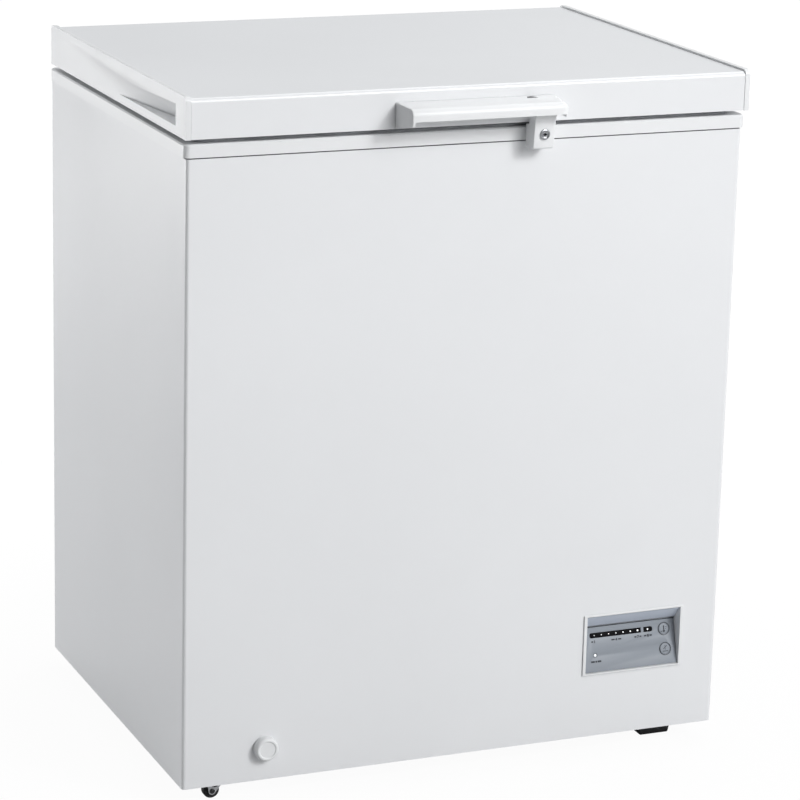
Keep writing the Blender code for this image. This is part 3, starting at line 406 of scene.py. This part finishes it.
def flat_mesh(name, loops, thick, bevel=0.0):
    """A plate in millimetres lying in XY, from outlines and holes, rising from 0 to thick."""
    cu = bpy.data.curves.new(name, "CURVE")
    cu.dimensions = "2D"
    cu.fill_mode = "BOTH"
    cu.extrude = thick / 2 - bevel
    cu.bevel_depth = bevel
    cu.bevel_resolution = 1
    for loop in loops:
        sp = cu.splines.new("POLY")
        sp.points.add(len(loop) - 1)
        for q, (a, b) in zip(sp.points, loop):
            q.co = (a, b, 0, 1)
        sp.use_cyclic_u = True
    ob = bpy.data.objects.new(name, cu)
    bpy.context.scene.collection.objects.link(ob)
    me = bpy.data.meshes.new_from_object(ob.evaluated_get(bpy.context.evaluated_depsgraph_get()))
    bpy.data.objects.remove(ob, do_unlink=True)
    bm = bmesh.new()
    bm.from_mesh(me)
    bmesh.ops.remove_doubles(bm, verts=bm.verts[:], dist=0.0004)
    bpy.data.meshes.remove(me)
    return bm


def digits_bm(marks):
    """Small digits, each (text, x, s, height), as flat plates in millimetres."""
    whole = bmesh.new()
    for body, x, s, h in marks:
        cu = bpy.data.curves.new("digit", "FONT")
        cu.body = body
        cu.size = h * 1.4
        cu.align_x = "CENTER"
        cu.extrude = 0.03
        cu.resolution_u = 3
        cu.offset = 0.14
        ob = bpy.data.objects.new("digit", cu)
        bpy.context.scene.collection.objects.link(ob)
        me = bpy.data.meshes.new_from_object(ob.evaluated_get(bpy.context.evaluated_depsgraph_get()))
        bpy.data.objects.remove(ob, do_unlink=True)
        me.transform(Matrix.Translation((x, s - h / 2, 0)))
        whole.from_mesh(me)
        bpy.data.meshes.remove(me)
    bmesh.ops.remove_doubles(whole, verts=whole.verts[:], dist=0.0004)
    return whole


def lay_on_slope(bm, front):
    """Moves an XY plate onto the faceplate: its own z rises out of the plate from depth front."""
    for v in bm.verts:
        v.co = on_slope(v.co.x, v.co.y, front - v.co.z)
    return bm


def boolean(ob, cutter, op="DIFFERENCE"):
    m = ob.modifiers.new("cut", "BOOLEAN")
    m.operation = op
    m.solver = "EXACT"
    m.object = cutter
    me = bpy.data.meshes.new_from_object(ob.evaluated_get(bpy.context.evaluated_depsgraph_get()))
    ob.modifiers.clear()
    old = ob.data
    ob.data = me
    bpy.data.meshes.remove(old)
    bpy.data.objects.remove(cutter, do_unlink=True)
    return ob


def loose(bm, name):
    ob = bpy.data.objects.new(name, mesh_of(bm, name))
    bpy.context.scene.collection.objects.link(ob)
    return ob


def prism_bm(pts, x0, x1):
    """A (y, z) outline carried from x0 to x1, in millimetres."""
    return loft([[P(x0, y, z) for y, z in pts], [P(x1, y, z) for y, z in pts]])


def arc(cy, cz, r, a0, a1, n):
    return [(cy + r * math.cos(math.radians(a0 + (a1 - a0) * i / n)), cz + r * math.sin(math.radians(a0 + (a1 - a0) * i / n))) for i in range(n + 1)]


def finish_mesh(ob, name, mat, body, replaces=(), angle=35, weigh=True):
    """Takes a worked object's mesh as the finished piece."""
    me = ob.data
    bm = bmesh.new()
    bm.from_mesh(me)
    bmesh.ops.remove_doubles(bm, verts=bm.verts[:], dist=0.000002)
    bmesh.ops.dissolve_degenerate(bm, edges=bm.edges[:], dist=0.000001)
    new = mesh_of(bm, name)
    bpy.data.objects.remove(ob, do_unlink=True)
    ob = add(name, new, mat, body, replaces, True, angle)
    if weigh:
        n = ob.modifiers.new("normals", "WEIGHTED_NORMAL")
        n.mode = "FACE_AREA"
        n.keep_sharp = True
    return ob


# ---------------------------------------------------------------- lid handle
LID_FACE = -8.4                      # back of the hood, a hair off the lid's front
HALF = 101.5


def hood_section(x, inset):
    """The hood's outline at x; inset rounds an end by drawing its top and nose in."""
    r = 8.0 - inset
    outline = [(LID_FACE, 802.0), (LID_FACE, 832.3 - inset), (-24.0, 831.4 - inset * 1.0)]
    outline += arc(-41.6, 822.6, r, 84, 180, 14)
    outline += [(-49.55 + inset, 817.0), (-49.2 + inset, 813.2), (-48.2 + inset, 810.8), (-46.0 + inset, 809.7)]
    pts = []
    for y, z in outline:
        t = max(0.0, min(1.0, (LID_FACE - y) / 42.0))
        if x > 85.0:                 # the right cheek stops short of the lock
            z = max(z, 813.0)
        pts.append(P(x - math.copysign(4.0 * t, x) * abs(x) / HALF, y, z))
    return pts


stations = []
for i in range(5):                   # crisp left end
    a = math.pi / 2 * i / 4
    stations.append((-HALF + 1.5 * (1 - math.cos(a)), 1.5 * (1 - math.sin(a))))
stations += [(-60.0, 0.0), (-20.0, 0.0), (20.0, 0.0), (60.0, 0.0)]
for i in range(9):                   # full, soft right end
    a = math.pi / 2 * i / 8
    stations.append((HALF - 11.0 + 11.0 * math.sin(a), 7.2 * (1 - math.cos(a))))
hood = loose(loft([hood_section(x, d) for x, d in stations]), "hood")
inside = [(-12.0, 790.0), (-12.0, 828.4), (-36.0, 827.0)] + arc(-40.5, 821.0, 5.0, 80, 180, 10) + [(-45.5, 817.8), (-48.0, 816.2), (-60.0, 815.6), (-60.0, 790.0)]
boolean(hood, loose(prism_bm(inside, -HALF + 7.4, HALF - 7.4), "hollow"))
boolean(hood, loose(prism_bm([(-13, 790), (0, 790), (0, 806), (-13, 806)], -HALF + 7.4, HALF - 7.4), "flange_foot"))
notch = loft([[P(x, y, z) for x, y in ((61.0, -8.9), (65.0, -8.9), (71.6, -19.4), (57.0, -19.4))] for z in (826.0, 842.0)])
boolean(hood, loose(notch, "notch"))
for sx in (-78.0, 46.0):
    boolean(hood, loose(lathe([(0, -16.0), (2.4, -16.0), (2.4, -4.0), (0, -4.0)], along_y(sx, 817.0), 24), "way"))
finish_mesh(hood, "handle_hood", GLOSS, "lid", ["lid_handle"], 32, False)

# a dark pad in the notch: painted shade of its recess
pad = loft([[P(x, y, z) for x, y in ((61.2, -9.1), (64.8, -9.1), (71.3, -19.2), (57.3, -19.2))] for z in (826.4, 831.3)])
add("handle_notch_shade_pad", mesh_of(pad, "handle_notch_shade_pad"), PAINTED_SHADE_DARK, "lid", (), False)

# ------------------------------------------------------------------ key lock
lk = fillet([(-4.6, 772.0), (-4.6, 799.0), (-12.3, 799.0), (-12.3, 827.6), (-34.0, 826.2), (-34.0, 816.0), (-29.0, 808.0), (-24.8, 774.0), (-23.2, 772.0)],
            [0.5, 0, 0, 0.6, 1.2, 3.0, 4.0, 1.6, 1.0], 5, True)
rows = []
for x, d in ([(64.0 + 1.0 * (1 - math.cos(a)), 1.0 * (1 - math.sin(a))) for a in (0.0, 0.5236, 1.0472, 1.5708)]
             + [(91.0 - 2.6 + 2.6 * math.sin(a), 2.6 * (1 - math.cos(a))) for a in (0.0, 0.35, 0.7, 1.05, 1.35, 1.5708)]):
    rows.append([P(x, y + (d if y < -18 else 0.0), z - (d if z > 825 else 0.0) + (d if z < 774.5 else 0.0)) for y, z in lk])
block = loose(loft(rows), "lock_block")
boolean(block, loose(prism_bm([(-19.0, 765.0), (0.0, 765.0), (0.0, 800.6), (-19.0, 800.6)], 67.0, 88.0), "pocket"))
boolean(block, loose(lathe([(0, -40.0), (6.6, -40.0), (6.6, -26.6), (5.7, -26.6), (5.7, -14.0), (0, -14.0)], along_y(77.5, 789.6), 48), "bore"))
finish_mesh(block, "lock_case", GLOSS, "lid", ["lock_housing"], 38, False)

barrel = loose(lathe([(0, -27.5), (3.6, -27.5), (4.2, -27.9), (4.7, -28.3), (5.5, -28.3), (6.1, -28.0), (6.3, -27.5), (6.3, -26.9), (5.4, -26.8), (5.4, -14.4),
                      (3.0, -14.3), (3.0, -13.2), (0, -13.2)], along_y(77.5, 789.6), 64), "barrel")
way = flat_mesh("keyway", [slab(74.7, 80.3, 788.75, 790.45, (0.8, 0.8, 0.8, 0.8))], 8.0)
for v in way.verts:
    v.co = P(v.co.x, -26.0 - v.co.z, v.co.y)
boolean(barrel, loose(way, "keyway"))
way = flat_mesh("key_ward", [circle(77.5, 789.6, 1.7, 20)], 8.0)
for v in way.verts:
    v.co = P(v.co.x, -26.4 - v.co.z, v.co.y)
boolean(barrel, loose(way, "key_ward"))
finish_mesh(barrel, "lock_barrel", NICKEL, "lock", ["lock_cylinder"], 35)
# a black plate behind the keyway: painted shade of the deep slot
core = flat_mesh("keyway_painted_shade", [slab(74.3, 80.7, 787.5, 791.7, (2, 2, 2, 2))], 0.4)
for v in core.verts:
    v.co = P(v.co.x, -22.1 - v.co.z, v.co.y)
add("keyway_shade_plate", mesh_of(core, "keyway_shade_plate"), BLACK, "lock")

# ----------------------------------------------------------------- drain cap
prof = fillet([(0, -10.2), (9.6, -10.2), (10.6, -11.4), (12.6, -11.4), (14.3, -9.0), (14.6, -2.0), (14.2, -0.7), (10.8, -0.7), (10.8, -1.8), (0, -1.8)],
              [0, 0.7, 0.8, 1.6, 2.2, 0.5, 0.2, 0, 0, 0], 6)
add("drain_cap", mesh_of(lathe(prof, along_y(-246.5, 66.0), 96), "drain_cap"), PLASTIC, "drain_knob_body", ["drain_knob"], True, 50)

# ------------------------------------------------------------- control panel
REC_X0, REC_X1, S_LEN = 171.0, 298.4, math.hypot(15.0, 55.2)
BTN = ((283.4, 44.0), (283.4, 19.0))
holes = [circle(x, s, 7.25, 48) for x, s in BTN]
holes += [slab(181.7, 252.2, 42.2, 48.9, (2.6, 0.5, 0.5, 2.6)), slab(255.7, 268.0, 42.2, 48.9, (0.5, 3.1, 3.1, 0.5)), circle(187.4, 21.1, 1.75, 32)]
face = lay_on_slope(flat_mesh("plate", [slab(REC_X0 + 0.3, REC_X1 - 0.3, 0.6, S_LEN - 0.5, (0.3, 0.3, 0.3, 0.3))] + holes, 0.9, 0.12), 0.35)
add("faceplate_skin", mesh_of(face, "faceplate_skin"), SILVER, "cabinet", ["control_faceplate"], True, 30)
bar = lay_on_slope(flat_mesh("bar", [slab(182.0, 251.9, 42.5, 48.6, (2.4, 0.3, 0.3, 2.4))], 0.9, 0.12), 0.25)
add("led_bar_window", mesh_of(bar, "led_bar_window"), LENS, "cabinet", ["led_bar_lens"], True, 30)
bar = lay_on_slope(flat_mesh("bar2", [slab(256.0, 267.7, 42.5, 48.6, (0.3, 2.9, 2.9, 0.3))], 0.9, 0.12), 0.25)
add("led_fast_window", mesh_of(bar, "led_fast_window"), LENS, "cabinet", ["led_fast_lens"], True, 30)
for i, x in enumerate((188.0, 197.8, 207.7, 217.7, 227.6, 237.4, 247.4, 261.2)):
    r = (0.55, 0.6, 0.65, 0.75, 0.85, 0.95, 1.15, 1.0)[i]
    dot = lathe([(0, -0.36), (r * 0.7, -0.34), (r, -0.27), (r, -0.1), (0, -0.1)], lambda u, v, d, x=x: on_slope(x + u, 45.6 + v, d - 0.2), 24)
    add("led_point_%d" % (i + 1), mesh_of(dot, "led_point_%d" % (i + 1)), GLOW, "cabinet")
lens = lathe([(0, -0.80), (0.8, -0.74), (1.2, -0.6), (1.5, -0.3), (1.5, 0.6), (0, 0.6)], lambda u, v, d: on_slope(187.4 + u, 21.1 + v, d), 32)
add("running_dome", mesh_of(lens, "running_dome"), GLOW, "cabinet", ["running_lens"])

ink = [circle(x, s, 8.0, 56) for x, s in BTN] + [circle(x, s, 7.45, 56) for x, s in BTN]
ink += [circle(187.4, 21.1, 2.95, 36), circle(187.4, 21.1, 2.65, 36)]
ink += [slab(211.0, 215.2, 37.1, 38.7), slab(220.2, 224.4, 37.1, 38.7), slab(183.6, 185.8, 37.1, 38.7), slab(249.6, 252.0, 37.1, 38.7), slab(255.8, 259.0, 37.1, 38.7), slab(263.4, 266.6, 37.1, 38.7), slab(242.6, 245.2, 37.1, 38.7)]
# a plain dash-dot-dash mark under the running lamp
ink += [slab(181.2, 186.2, 12.2, 14.4, (0.4, 0.4, 0.4, 0.4)), slab(187.0, 189.2, 12.2, 14.4, (0.4, 0.4, 0.4, 0.4)), slab(190.0, 195.0, 12.2, 14.4, (0.4, 0.4, 0.4, 0.4))]
print_bm = flat_mesh("ink", ink, 0.06)
me = mesh_of(lay_on_slope(print_bm, -0.56), "panel_print")
add("panel_print", me, INK_AND_SHADOW, "cabinet", (), False)
marks = [("1", 188.0, 38.0, 3.3), ("4", 217.7, 38.0, 3.3), ("7", 247.4, 38.0, 3.3), ("8", 261.2, 38.0, 3.3)]
me = mesh_of(lay_on_slope(digits_bm(marks), -0.57), "panel_digits")
add("panel_digits", me, INK_AND_SHADOW, "cabinet", (), False)

icons = (
    # a thermometer beside two level ticks
    [slab(282.6, 284.2, 42.6, 47.8, (0, 0, 0.8, 0.8)), circle(283.4, 41.2, 1.6, 24), slab(285.4, 287.2, 45.6, 46.2), slab(285.4, 286.6, 43.6, 44.2), slab(279.0, 281.0, 40.4, 41.3)],
    # a six-armed crystal over a shelf line
    [slab(279.6, 287.2, 15.6, 16.4), slab(283.1, 283.7, 17.6, 24.0), [(280.6, 19.0), (281.0, 18.5), (286.2, 22.6), (285.8, 23.1)]],
)
for k, (nm, node, body) in enumerate((("temperature_key", "button_temperature", "temperature_button"), ("fast_freeze_key", "button_fast_freeze", "fast_freeze_button"))):
    x0, s0 = BTN[k]
    cap = lathe([(0, -0.42), (5.2, -0.40), (6.3, -0.28), (6.8, 0.0), (6.9, 0.3), (6.9, 1.4), (0, 1.4)], lambda u, v, d, x0=x0, s0=s0: on_slope(x0 + u, s0 + v, d - 0.2), 64)
    add(nm, mesh_of(cap, nm), SILVER, body, [node], True, 50)
    me = mesh_of(lay_on_slope(flat_mesh("icon", icons[k], 0.06), -0.63), nm + "_icon")
    add(nm + "_icon", me, INK_AND_SHADOW, body, (), False)

# bluish grey lining of the recess's ceiling, its tint painted shade, with a light bead and a painted dark shadow line
# above the faceplate
lining = fillet([(14.2, 164.6), (1.2, 179.6), (0.7, 179.2), (13.4, 164.3)], [0.1, 0.1, 0.1, 0.1], 3, True)
add("soffit_lining", mesh_of(prism_bm(lining, REC_X0 + 0.3, REC_X1 - 0.3), "soffit_lining"), SOFFIT_SHADE_GREY, "cabinet")
bead = [(15.2 + 1.0 * math.cos(a), 163.6 + 0.75 * math.sin(a)) for a in [2 * math.pi * i / 20 for i in range(20)]]
add("soffit_bead", mesh_of(prism_bm(bead, REC_X0 + 0.3, REC_X1 - 0.3), "soffit_bead"), SILVER, "cabinet")
# a thin dark strip: painted shadow under the bead
line = [(14.6, 161.7), (15.4, 161.7), (15.4, 162.15), (14.6, 162.15)]
add("soffit_painted_shadow_line", mesh_of(prism_bm(line, REC_X0 + 0.3, REC_X1 - 0.3), "soffit_painted_shadow_line"), INK_AND_SHADOW, "cabinet", (), False)

# ------------------------------------------------------------------- castors
CX = -299.0
for tag, cy in (("front", 28.0), ("rear", 470.0)):
    wx = CX - 5.5
    side = arc(wx, 10.0, 4.6, 204, 332, 16) + [(CX + 7.6, 19.6), (CX + 7.5, 22.4), (CX - 10.5, 22.4), (CX - 11.2, 19.6)]
    side = fillet(side, [0] * 17 + [2.0, 0.4, 0.4, 2.0], 4, True)

    def xz(pts, y0, y1):
        return loft([[P(x, y, z) for x, z in pts] for y in (y0, y1)])
    fork = loose(xz(side, cy - 7.9, cy + 7.9), "fork")
    boolean(fork, loose(xz([(wx - 30, 0), (wx + 30, 0), (wx + 30, 20.9), (wx - 30, 20.9)], cy - 6.3, cy + 6.3), "gap"))
    eye = fillet([(CX - 5.6, 14.4), (CX + 1.4, 15.2), (CX + 3.6, 19.4), (CX - 5.6, 19.4)], [1.6, 1.6, 1.6, 1.6], 5, True)
    boolean(fork, loose(xz(eye, cy - 20, cy + 20), "eye"))
    boolean(fork, loose(lathe([(0, 19.0), (3.4, 19.0), (3.4, 25.0), (0, 25.0)], along_z(CX, cy), 32), "pin_way"))
    axle = loose(lathe([(0, -9.4), (2.2, -9.3), (3.1, -8.7), (3.3, -7.8), (2.0, -7.5), (2.0, 7.5), (3.3, 7.8), (3.1, 8.7), (2.2, 9.3), (0, 9.4)],
                       lambda u, v, d, wx=wx, cy=cy: P(wx + u, cy + d, 10.0 + v), 32), "axle")
    finish_mesh(axle, "castor_%s_axle" % tag, BLACKPAINT, "castor_%s_swivel_body" % tag, (), 35)
    boolean(fork, loose(lathe([(0, -9.0), (1.9, -9.0), (1.9, 9.0), (0, 9.0)], lambda u, v, d, wx=wx, cy=cy: P(wx + u, cy + d, 10.0 + v), 32), "bore"))
    finish_mesh(fork, "castor_%s_yoke" % tag, GREYMETAL, "castor_%s_swivel_body" % tag, ["castor_%s_fork" % tag], 35)
    tyre = fillet([(2.3, -5.6), (5.4, -5.6), (6.0, -4.6), (7.8, -4.6), (8.4, -5.2), (10.0, -4.2), (10.0, 4.2), (8.4, 5.2), (7.8, 4.6), (6.0, 4.6), (5.4, 5.6), (2.3, 5.6)],
                  [0, 0.3, 0.3, 0.3, 0.5, 1.6, 1.6, 0.5, 0.3, 0.3, 0.3, 0], 4)
    tyre = tyre + [tyre[0]]
    add("castor_%s_tyre" % tag, mesh_of(lathe(tyre, lambda u, v, d, wx=wx, cy=cy: P(wx + u, cy + d, 10.0 + v), 64), "tyre_" + tag), RUBBER,
        "castor_%s_wheel_body" % tag, ["castor_%s_wheel" % tag], True, 40)

# --------------------------------------------------------------- wire basket
X0, X1, Y0, Y1 = 84.6, 269.4, 70.8, 447.2
XC, YC = (X0 + X1) / 2, (Y0 + Y1) / 2
ZT, ZB = 788.2, 601.3


def at_height(z, grow=0.0):
    """Half sizes of the basket's wall at a height: it narrows downwards."""
    t = (z - ZB) / (ZT - ZB)
    return (X1 - X0) / 2 * (0.90 + 0.10 * t) + grow, (Y1 - Y0) / 2 * (0.94 + 0.06 * t) + grow


def ring(z, grow=0.0, r=16.0):
    hx, hy = at_height(z, grow)
    pts = []
    for sx, sy, a0 in ((1, 1, 0), (-1, 1, 90), (-1, -1, 180), (1, -1, 270)):
        for i in range(7):
            a = math.radians(a0 + 90 * i / 6)
            pts.append((XC + sx * (hx - r) + r * math.cos(a), YC + sy * (hy - r) + r * math.sin(a), z))
    return pts


wires = [(ring(ZT - 0.2), True, 1.6), (ring(742.0, -0.2), True, 0.85), (ring(696.0, -0.2), True, 0.85), (ring(650.0, -0.2), True, 0.85), (ring(ZB + 6.0, -1.6), True, 1.15)]
for i in range(15):
    f = -1 + 2 * (i + 0.5) / 15
    top, mid = at_height(ZT), at_height(ZB + 8)
    y = YC + f * (top[1] - 8)
    yb = YC + f * (mid[1] - 8)
    wires.append(([(XC - top[0] - 1.4, y, ZT), (XC - mid[0] - 1.8, yb, ZB + 9), (XC - mid[0] + 0.4, yb, ZB + 3), (XC - mid[0] + 6, yb, ZB + 0.4),
                   (XC + mid[0] - 6, yb, ZB + 0.4), (XC + mid[0] - 0.4, yb, ZB + 3), (XC + mid[0] + 1.8, yb, ZB + 9), (XC + top[0] + 1.4, y, ZT)], False, 0.8))
for i in range(7):
    f = -1 + 2 * (i + 0.5) / 7
    top, mid = at_height(ZT), at_height(ZB + 8)
    x = XC + f * (top[0] - 8)
    xb = XC + f * (mid[0] - 8)
    wires.append(([(x, YC - top[1] - 1.4, ZT), (xb, YC - mid[1] - 1.8, ZB + 9), (xb, YC - mid[1] + 0.4, ZB + 4.6), (xb, YC - mid[1] + 6, ZB + 2.8),
                   (xb, YC + mid[1] - 6, ZB + 2.8), (xb, YC + mid[1] - 0.4, ZB + 4.6), (xb, YC + mid[1] + 1.8, ZB + 9), (x, YC + top[1] + 1.4, ZT)], False, 0.8))
for sy in (-1, 1):
    ye, yo = YC + sy * (at_height(ZT)[1]), YC + sy * (at_height(ZT)[1] + 19.0)
    wires.append(([(XC - 66, ye, ZT - 0.2), (XC - 66, ye + sy * 6, ZT + 1.0), (XC - 66, yo - sy * 3, 789.55), (XC - 63, yo, 789.55), (XC + 63, yo, 789.55),
                   (XC + 66, yo - sy * 3, 789.55), (XC + 66, ye + sy * 6, ZT + 1.0), (XC + 66, ye, ZT - 0.2)], False, 0.8))
cu = bpy.data.curves.new("basket", "CURVE")
cu.dimensions = "3D"
cu.bevel_depth = 0.0016
cu.bevel_resolution = 3
cu.use_fill_caps = True
for pts, cyclic, thick in wires:
    sp = cu.splines.new("POLY")
    sp.points.add(len(pts) - 1)
    for q, (x, y, z) in zip(sp.points, pts):
        v = P(x, y, z)
        q.co = (v.x, v.y, v.z, 1)
        q.radius = thick
    sp.use_cyclic_u = cyclic
ob = bpy.data.objects.new("basket", cu)
bpy.context.scene.collection.objects.link(ob)
me = bpy.data.meshes.new_from_object(ob.evaluated_get(bpy.context.evaluated_depsgraph_get()))
bpy.data.objects.remove(ob, do_unlink=True)
add("wire_basket", me, WIRE, "basket", ["storage_basket"], True, 60)

# ------------------------------------------------------------------ fasteners
def screw(name, x, z, y, r, body, mat, out=1.0):
    """A pan-head screw with a cross recess on a wall that faces +Y (out 1) or -Y (out -1)."""
    head = loose(lathe([(0, 1.5 * out), (r * 0.45, 1.42 * out), (r * 0.8, 1.05 * out), (r, 0.45 * out), (r, -0.1 * out), (0, -0.1 * out)], lambda u, v, d: P(x + u, y + d, z + v), 28), name)
    for w, h in ((r * 0.95, r * 0.24), (r * 0.24, r * 0.95)):
        boolean(head, loose(loft([[P(x + a, y + d, z + b) for a, b in ((-w / 2, -h / 2), (w / 2, -h / 2), (w / 2, h / 2), (-w / 2, h / 2))] for d in (0.7 * out, 3.0 * out)]), "cross"))
    finish_mesh(head, name, mat, body, (), 35)


k = 0
for x in (160.5, 339.5):
    for z in (34.0 if x > 200 else 72.0, 137.0, 240.0):
        k += 1
        screw("rear_cover_screw_%d" % k, x, z, 521.3, 3.4, "cabinet", ZINC)
for tag, hx in (("left", -205.0), ("right", 205.0)):
    for i, (dx, dz) in enumerate(((-11, 744), (11, 744), (-11, 768), (11, 768))):
        screw("hinge_%s_screw_%d" % (tag, i + 1), hx + dx, dz, 520.3, 3.2, "cabinet", ZINC)
    for i, (dx, dz) in enumerate(((-11, 820), (11, 820), (-11, 835), (11, 835))):
        screw("hinge_%s_lid_screw_%d" % (tag, i + 1), hx + dx, dz, 512.1, 3.0, "lid", ZINC)

# ------------------------------------------- dark strip in the gap under the collar: painted shade, laid like a sealing tape
tape = flat_mesh("tape", [slab(-348.1, 348.1, 0.9, 516.6, (4.0, 4.0, 0.5, 0.5)), slab(-345.6, 345.6, 3.4, 514.0, (2.5, 2.5, 0.5, 0.5))], 1.5)
for v in tape.verts:
    v.co = P(v.co.x, v.co.y, 777.75 + v.co.z)
add("collar_gap_painted_shade", mesh_of(tape, "collar_gap_painted_shade"), PAINTED_SHADE_DARK, "cabinet", (), False)

# ------------------------------ flange that closes the lid's edge round its liner
rim = flat_mesh("rim", [slab(-344.9, 344.9, -5.9, 507.6, (3.0, 3.0, 3.0, 3.0)), slab(-341.2, 341.2, -0.2, 503.2, (2.0, 2.0, 2.0, 2.0))], 1.3, 0.2)
for v in rim.verts:
    v.co = P(v.co.x, v.co.y, 801.75 + v.co.z)
add("lid_edge_flange", mesh_of(rim, "lid_edge_flange"), PLASTIC, "lid", (), True, 30)

# ============================================================= camera and light
YAW, PITCH, ROLL = math.radians(22.882), math.radians(15.594), math.radians(1.4354)
fwd = Vector((math.sin(YAW) * math.cos(PITCH), math.cos(YAW) * math.cos(PITCH), -math.sin(PITCH)))
right = Vector((math.cos(YAW), -math.sin(YAW), 0))
up = right.cross(fwd)
r2 = math.cos(ROLL) * right + math.sin(ROLL) * up
u2 = -math.sin(ROLL) * right + math.cos(ROLL) * up
cam_data = bpy.data.cameras.new("camera")
cam = bpy.data.objects.new("camera", cam_data)
bpy.context.scene.collection.objects.link(cam)
cam.matrix_world = Matrix((
    (r2.x, u2.x, -fwd.x, -1.4972),
    (r2.y, u2.y, -fwd.y, -3.5884),
    (r2.z, u2.z, -fwd.z, 1.4927),
    (0, 0, 0, 1)))
cam_data.sensor_width = 36.0
cam_data.lens = 145.54
cam_data.clip_end = 100.0
bpy.context.scene.camera = cam
bpy.context.scene.view_settings.view_transform = "Standard"


def area(name, at, aim, size, power, size_y=None):
    d = bpy.data.lights.new(name, "AREA")
    d.shape = "RECTANGLE"
    d.size, d.size_y = size, size_y or size
    d.energy = power
    o = bpy.data.objects.new(name, d)
    bpy.context.scene.collection.objects.link(o)
    o.location = at
    o.rotation_euler = (Vector(aim) - Vector(at)).to_track_quat("-Z", "Y").to_euler()
    o.visible_camera = False
    return o

# from the front right, a broad soft one and a small one that draws the shadows; from behind on the left, one for the side
area("key_soft", (1.9, -4.2, 2.9), (-0.2, -0.1, 0.6), 2.8, 166.0)
area("key_small", (2.3, -4.1, 3.2), (0.0, -0.1, 0.45), 0.7, 62.0)
area("back_left", (-3.0, 2.6, 0.35), (-0.3, 0.0, 0.2), 2.4, 102.0, 1.1)
area("top", (1.2, 0.8, 3.2), (0.1, 0.0, 0.8), 2.0, 24.0)

world = bpy.data.worlds.new("studio")
bpy.context.scene.world = world
world.use_nodes = True
wt = world.node_tree
wt.nodes.clear()


def wnode(kind, **inputs):
    n = wt.nodes.new(kind)
    for k, v in inputs.items():
        n.inputs[k].default_value = v
    return n


out = wnode("ShaderNodeOutputWorld")
co = wnode("ShaderNodeTexCoord")
dot = wnode("ShaderNodeVectorMath")
dot.operation = "DOT_PRODUCT"
dot.inputs[1].default_value = (0.45, 0.85, 0.25)
wt.links.new(co.outputs["Generated"], dot.inputs[0])
fall = wnode("ShaderNodeMapRange")
fall.inputs["From Min"].default_value = -0.6
fall.inputs["From Max"].default_value = 0.75
fall.inputs["To Min"].default_value = 0.06
fall.inputs["To Max"].default_value = 0.68
wt.links.new(dot.outputs["Value"], fall.inputs["Value"])
lit = wnode("ShaderNodeBackground")
wt.links.new(fall.outputs["Result"], lit.inputs["Strength"])
lit.inputs["Color"].default_value = (0.97, 0.985, 1.0, 1.0)
seen = wnode("ShaderNodeBackground")
seen.inputs["Color"].default_value = (1.0, 1.0, 1.0, 1.0)
seen.inputs["Strength"].default_value = 1.0
path = wnode("ShaderNodeLightPath")
pick = wnode("ShaderNodeMixShader")
wt.links.new(path.outputs["Is Camera Ray"], pick.inputs[0])
wt.links.new(lit.outputs[0], pick.inputs[1])
wt.links.new(seen.outputs[0], pick.inputs[2])
wt.links.new(pick.outputs[0], out.inputs["Surface"])

bm = bmesh.new()
bmesh.ops.create_grid(bm, x_segments=1, y_segments=1, size=16.0)
me = bpy.data.meshes.new("floor")
bm.to_mesh(me)
bm.free()
floor = bpy.data.objects.new("floor", me)
bpy.context.scene.collection.objects.link(floor)
fm = Mat("floor_pale", rough=0.85, specular=0.2)
fm.colour(fm.ramp(fm.noise(0.8, 3.0), [(0.3, (0.52, 0.52, 0.525)), (0.7, (0.55, 0.55, 0.55))]))
fm.roughness(fm.range(fm.noise(3.0, 3.0), 0.8, 0.9))
# a white sweep: what the floor gives back to the camera turns to plain white away from the object
ft = fm.t
length = ft.nodes.new("ShaderNodeVectorMath")
length.operation = "LENGTH"
ft.links.new(fm.co.outputs["Object"], length.inputs[0])
near = fm.range(length.outputs["Value"], 0.94, 1.0, 0.45, 1.2)
path = ft.nodes.new("ShaderNodeLightPath")
share = ft.nodes.new("ShaderNodeMath")
share.operation = "MULTIPLY"
ft.links.new(near, share.inputs[0])
ft.links.new(path.outputs["Is Camera Ray"], share.inputs[1])
white = ft.nodes.new("ShaderNodeEmission")
white.inputs["Color"].default_value = (1.0, 1.0, 1.0, 1.0)
white.inputs["Strength"].default_value = 1.02
both = ft.nodes.new("ShaderNodeMixShader")
ft.links.new(share.outputs[0], both.inputs[0])
ft.links.new(fm.b.outputs[0], both.inputs[1])
ft.links.new(white.outputs[0], both.inputs[2])
ft.links.new(both.outputs[0], ft.nodes["Material Output"].inputs["Surface"])
me.materials.append(fm.m)
floor.location.z = -0.0006
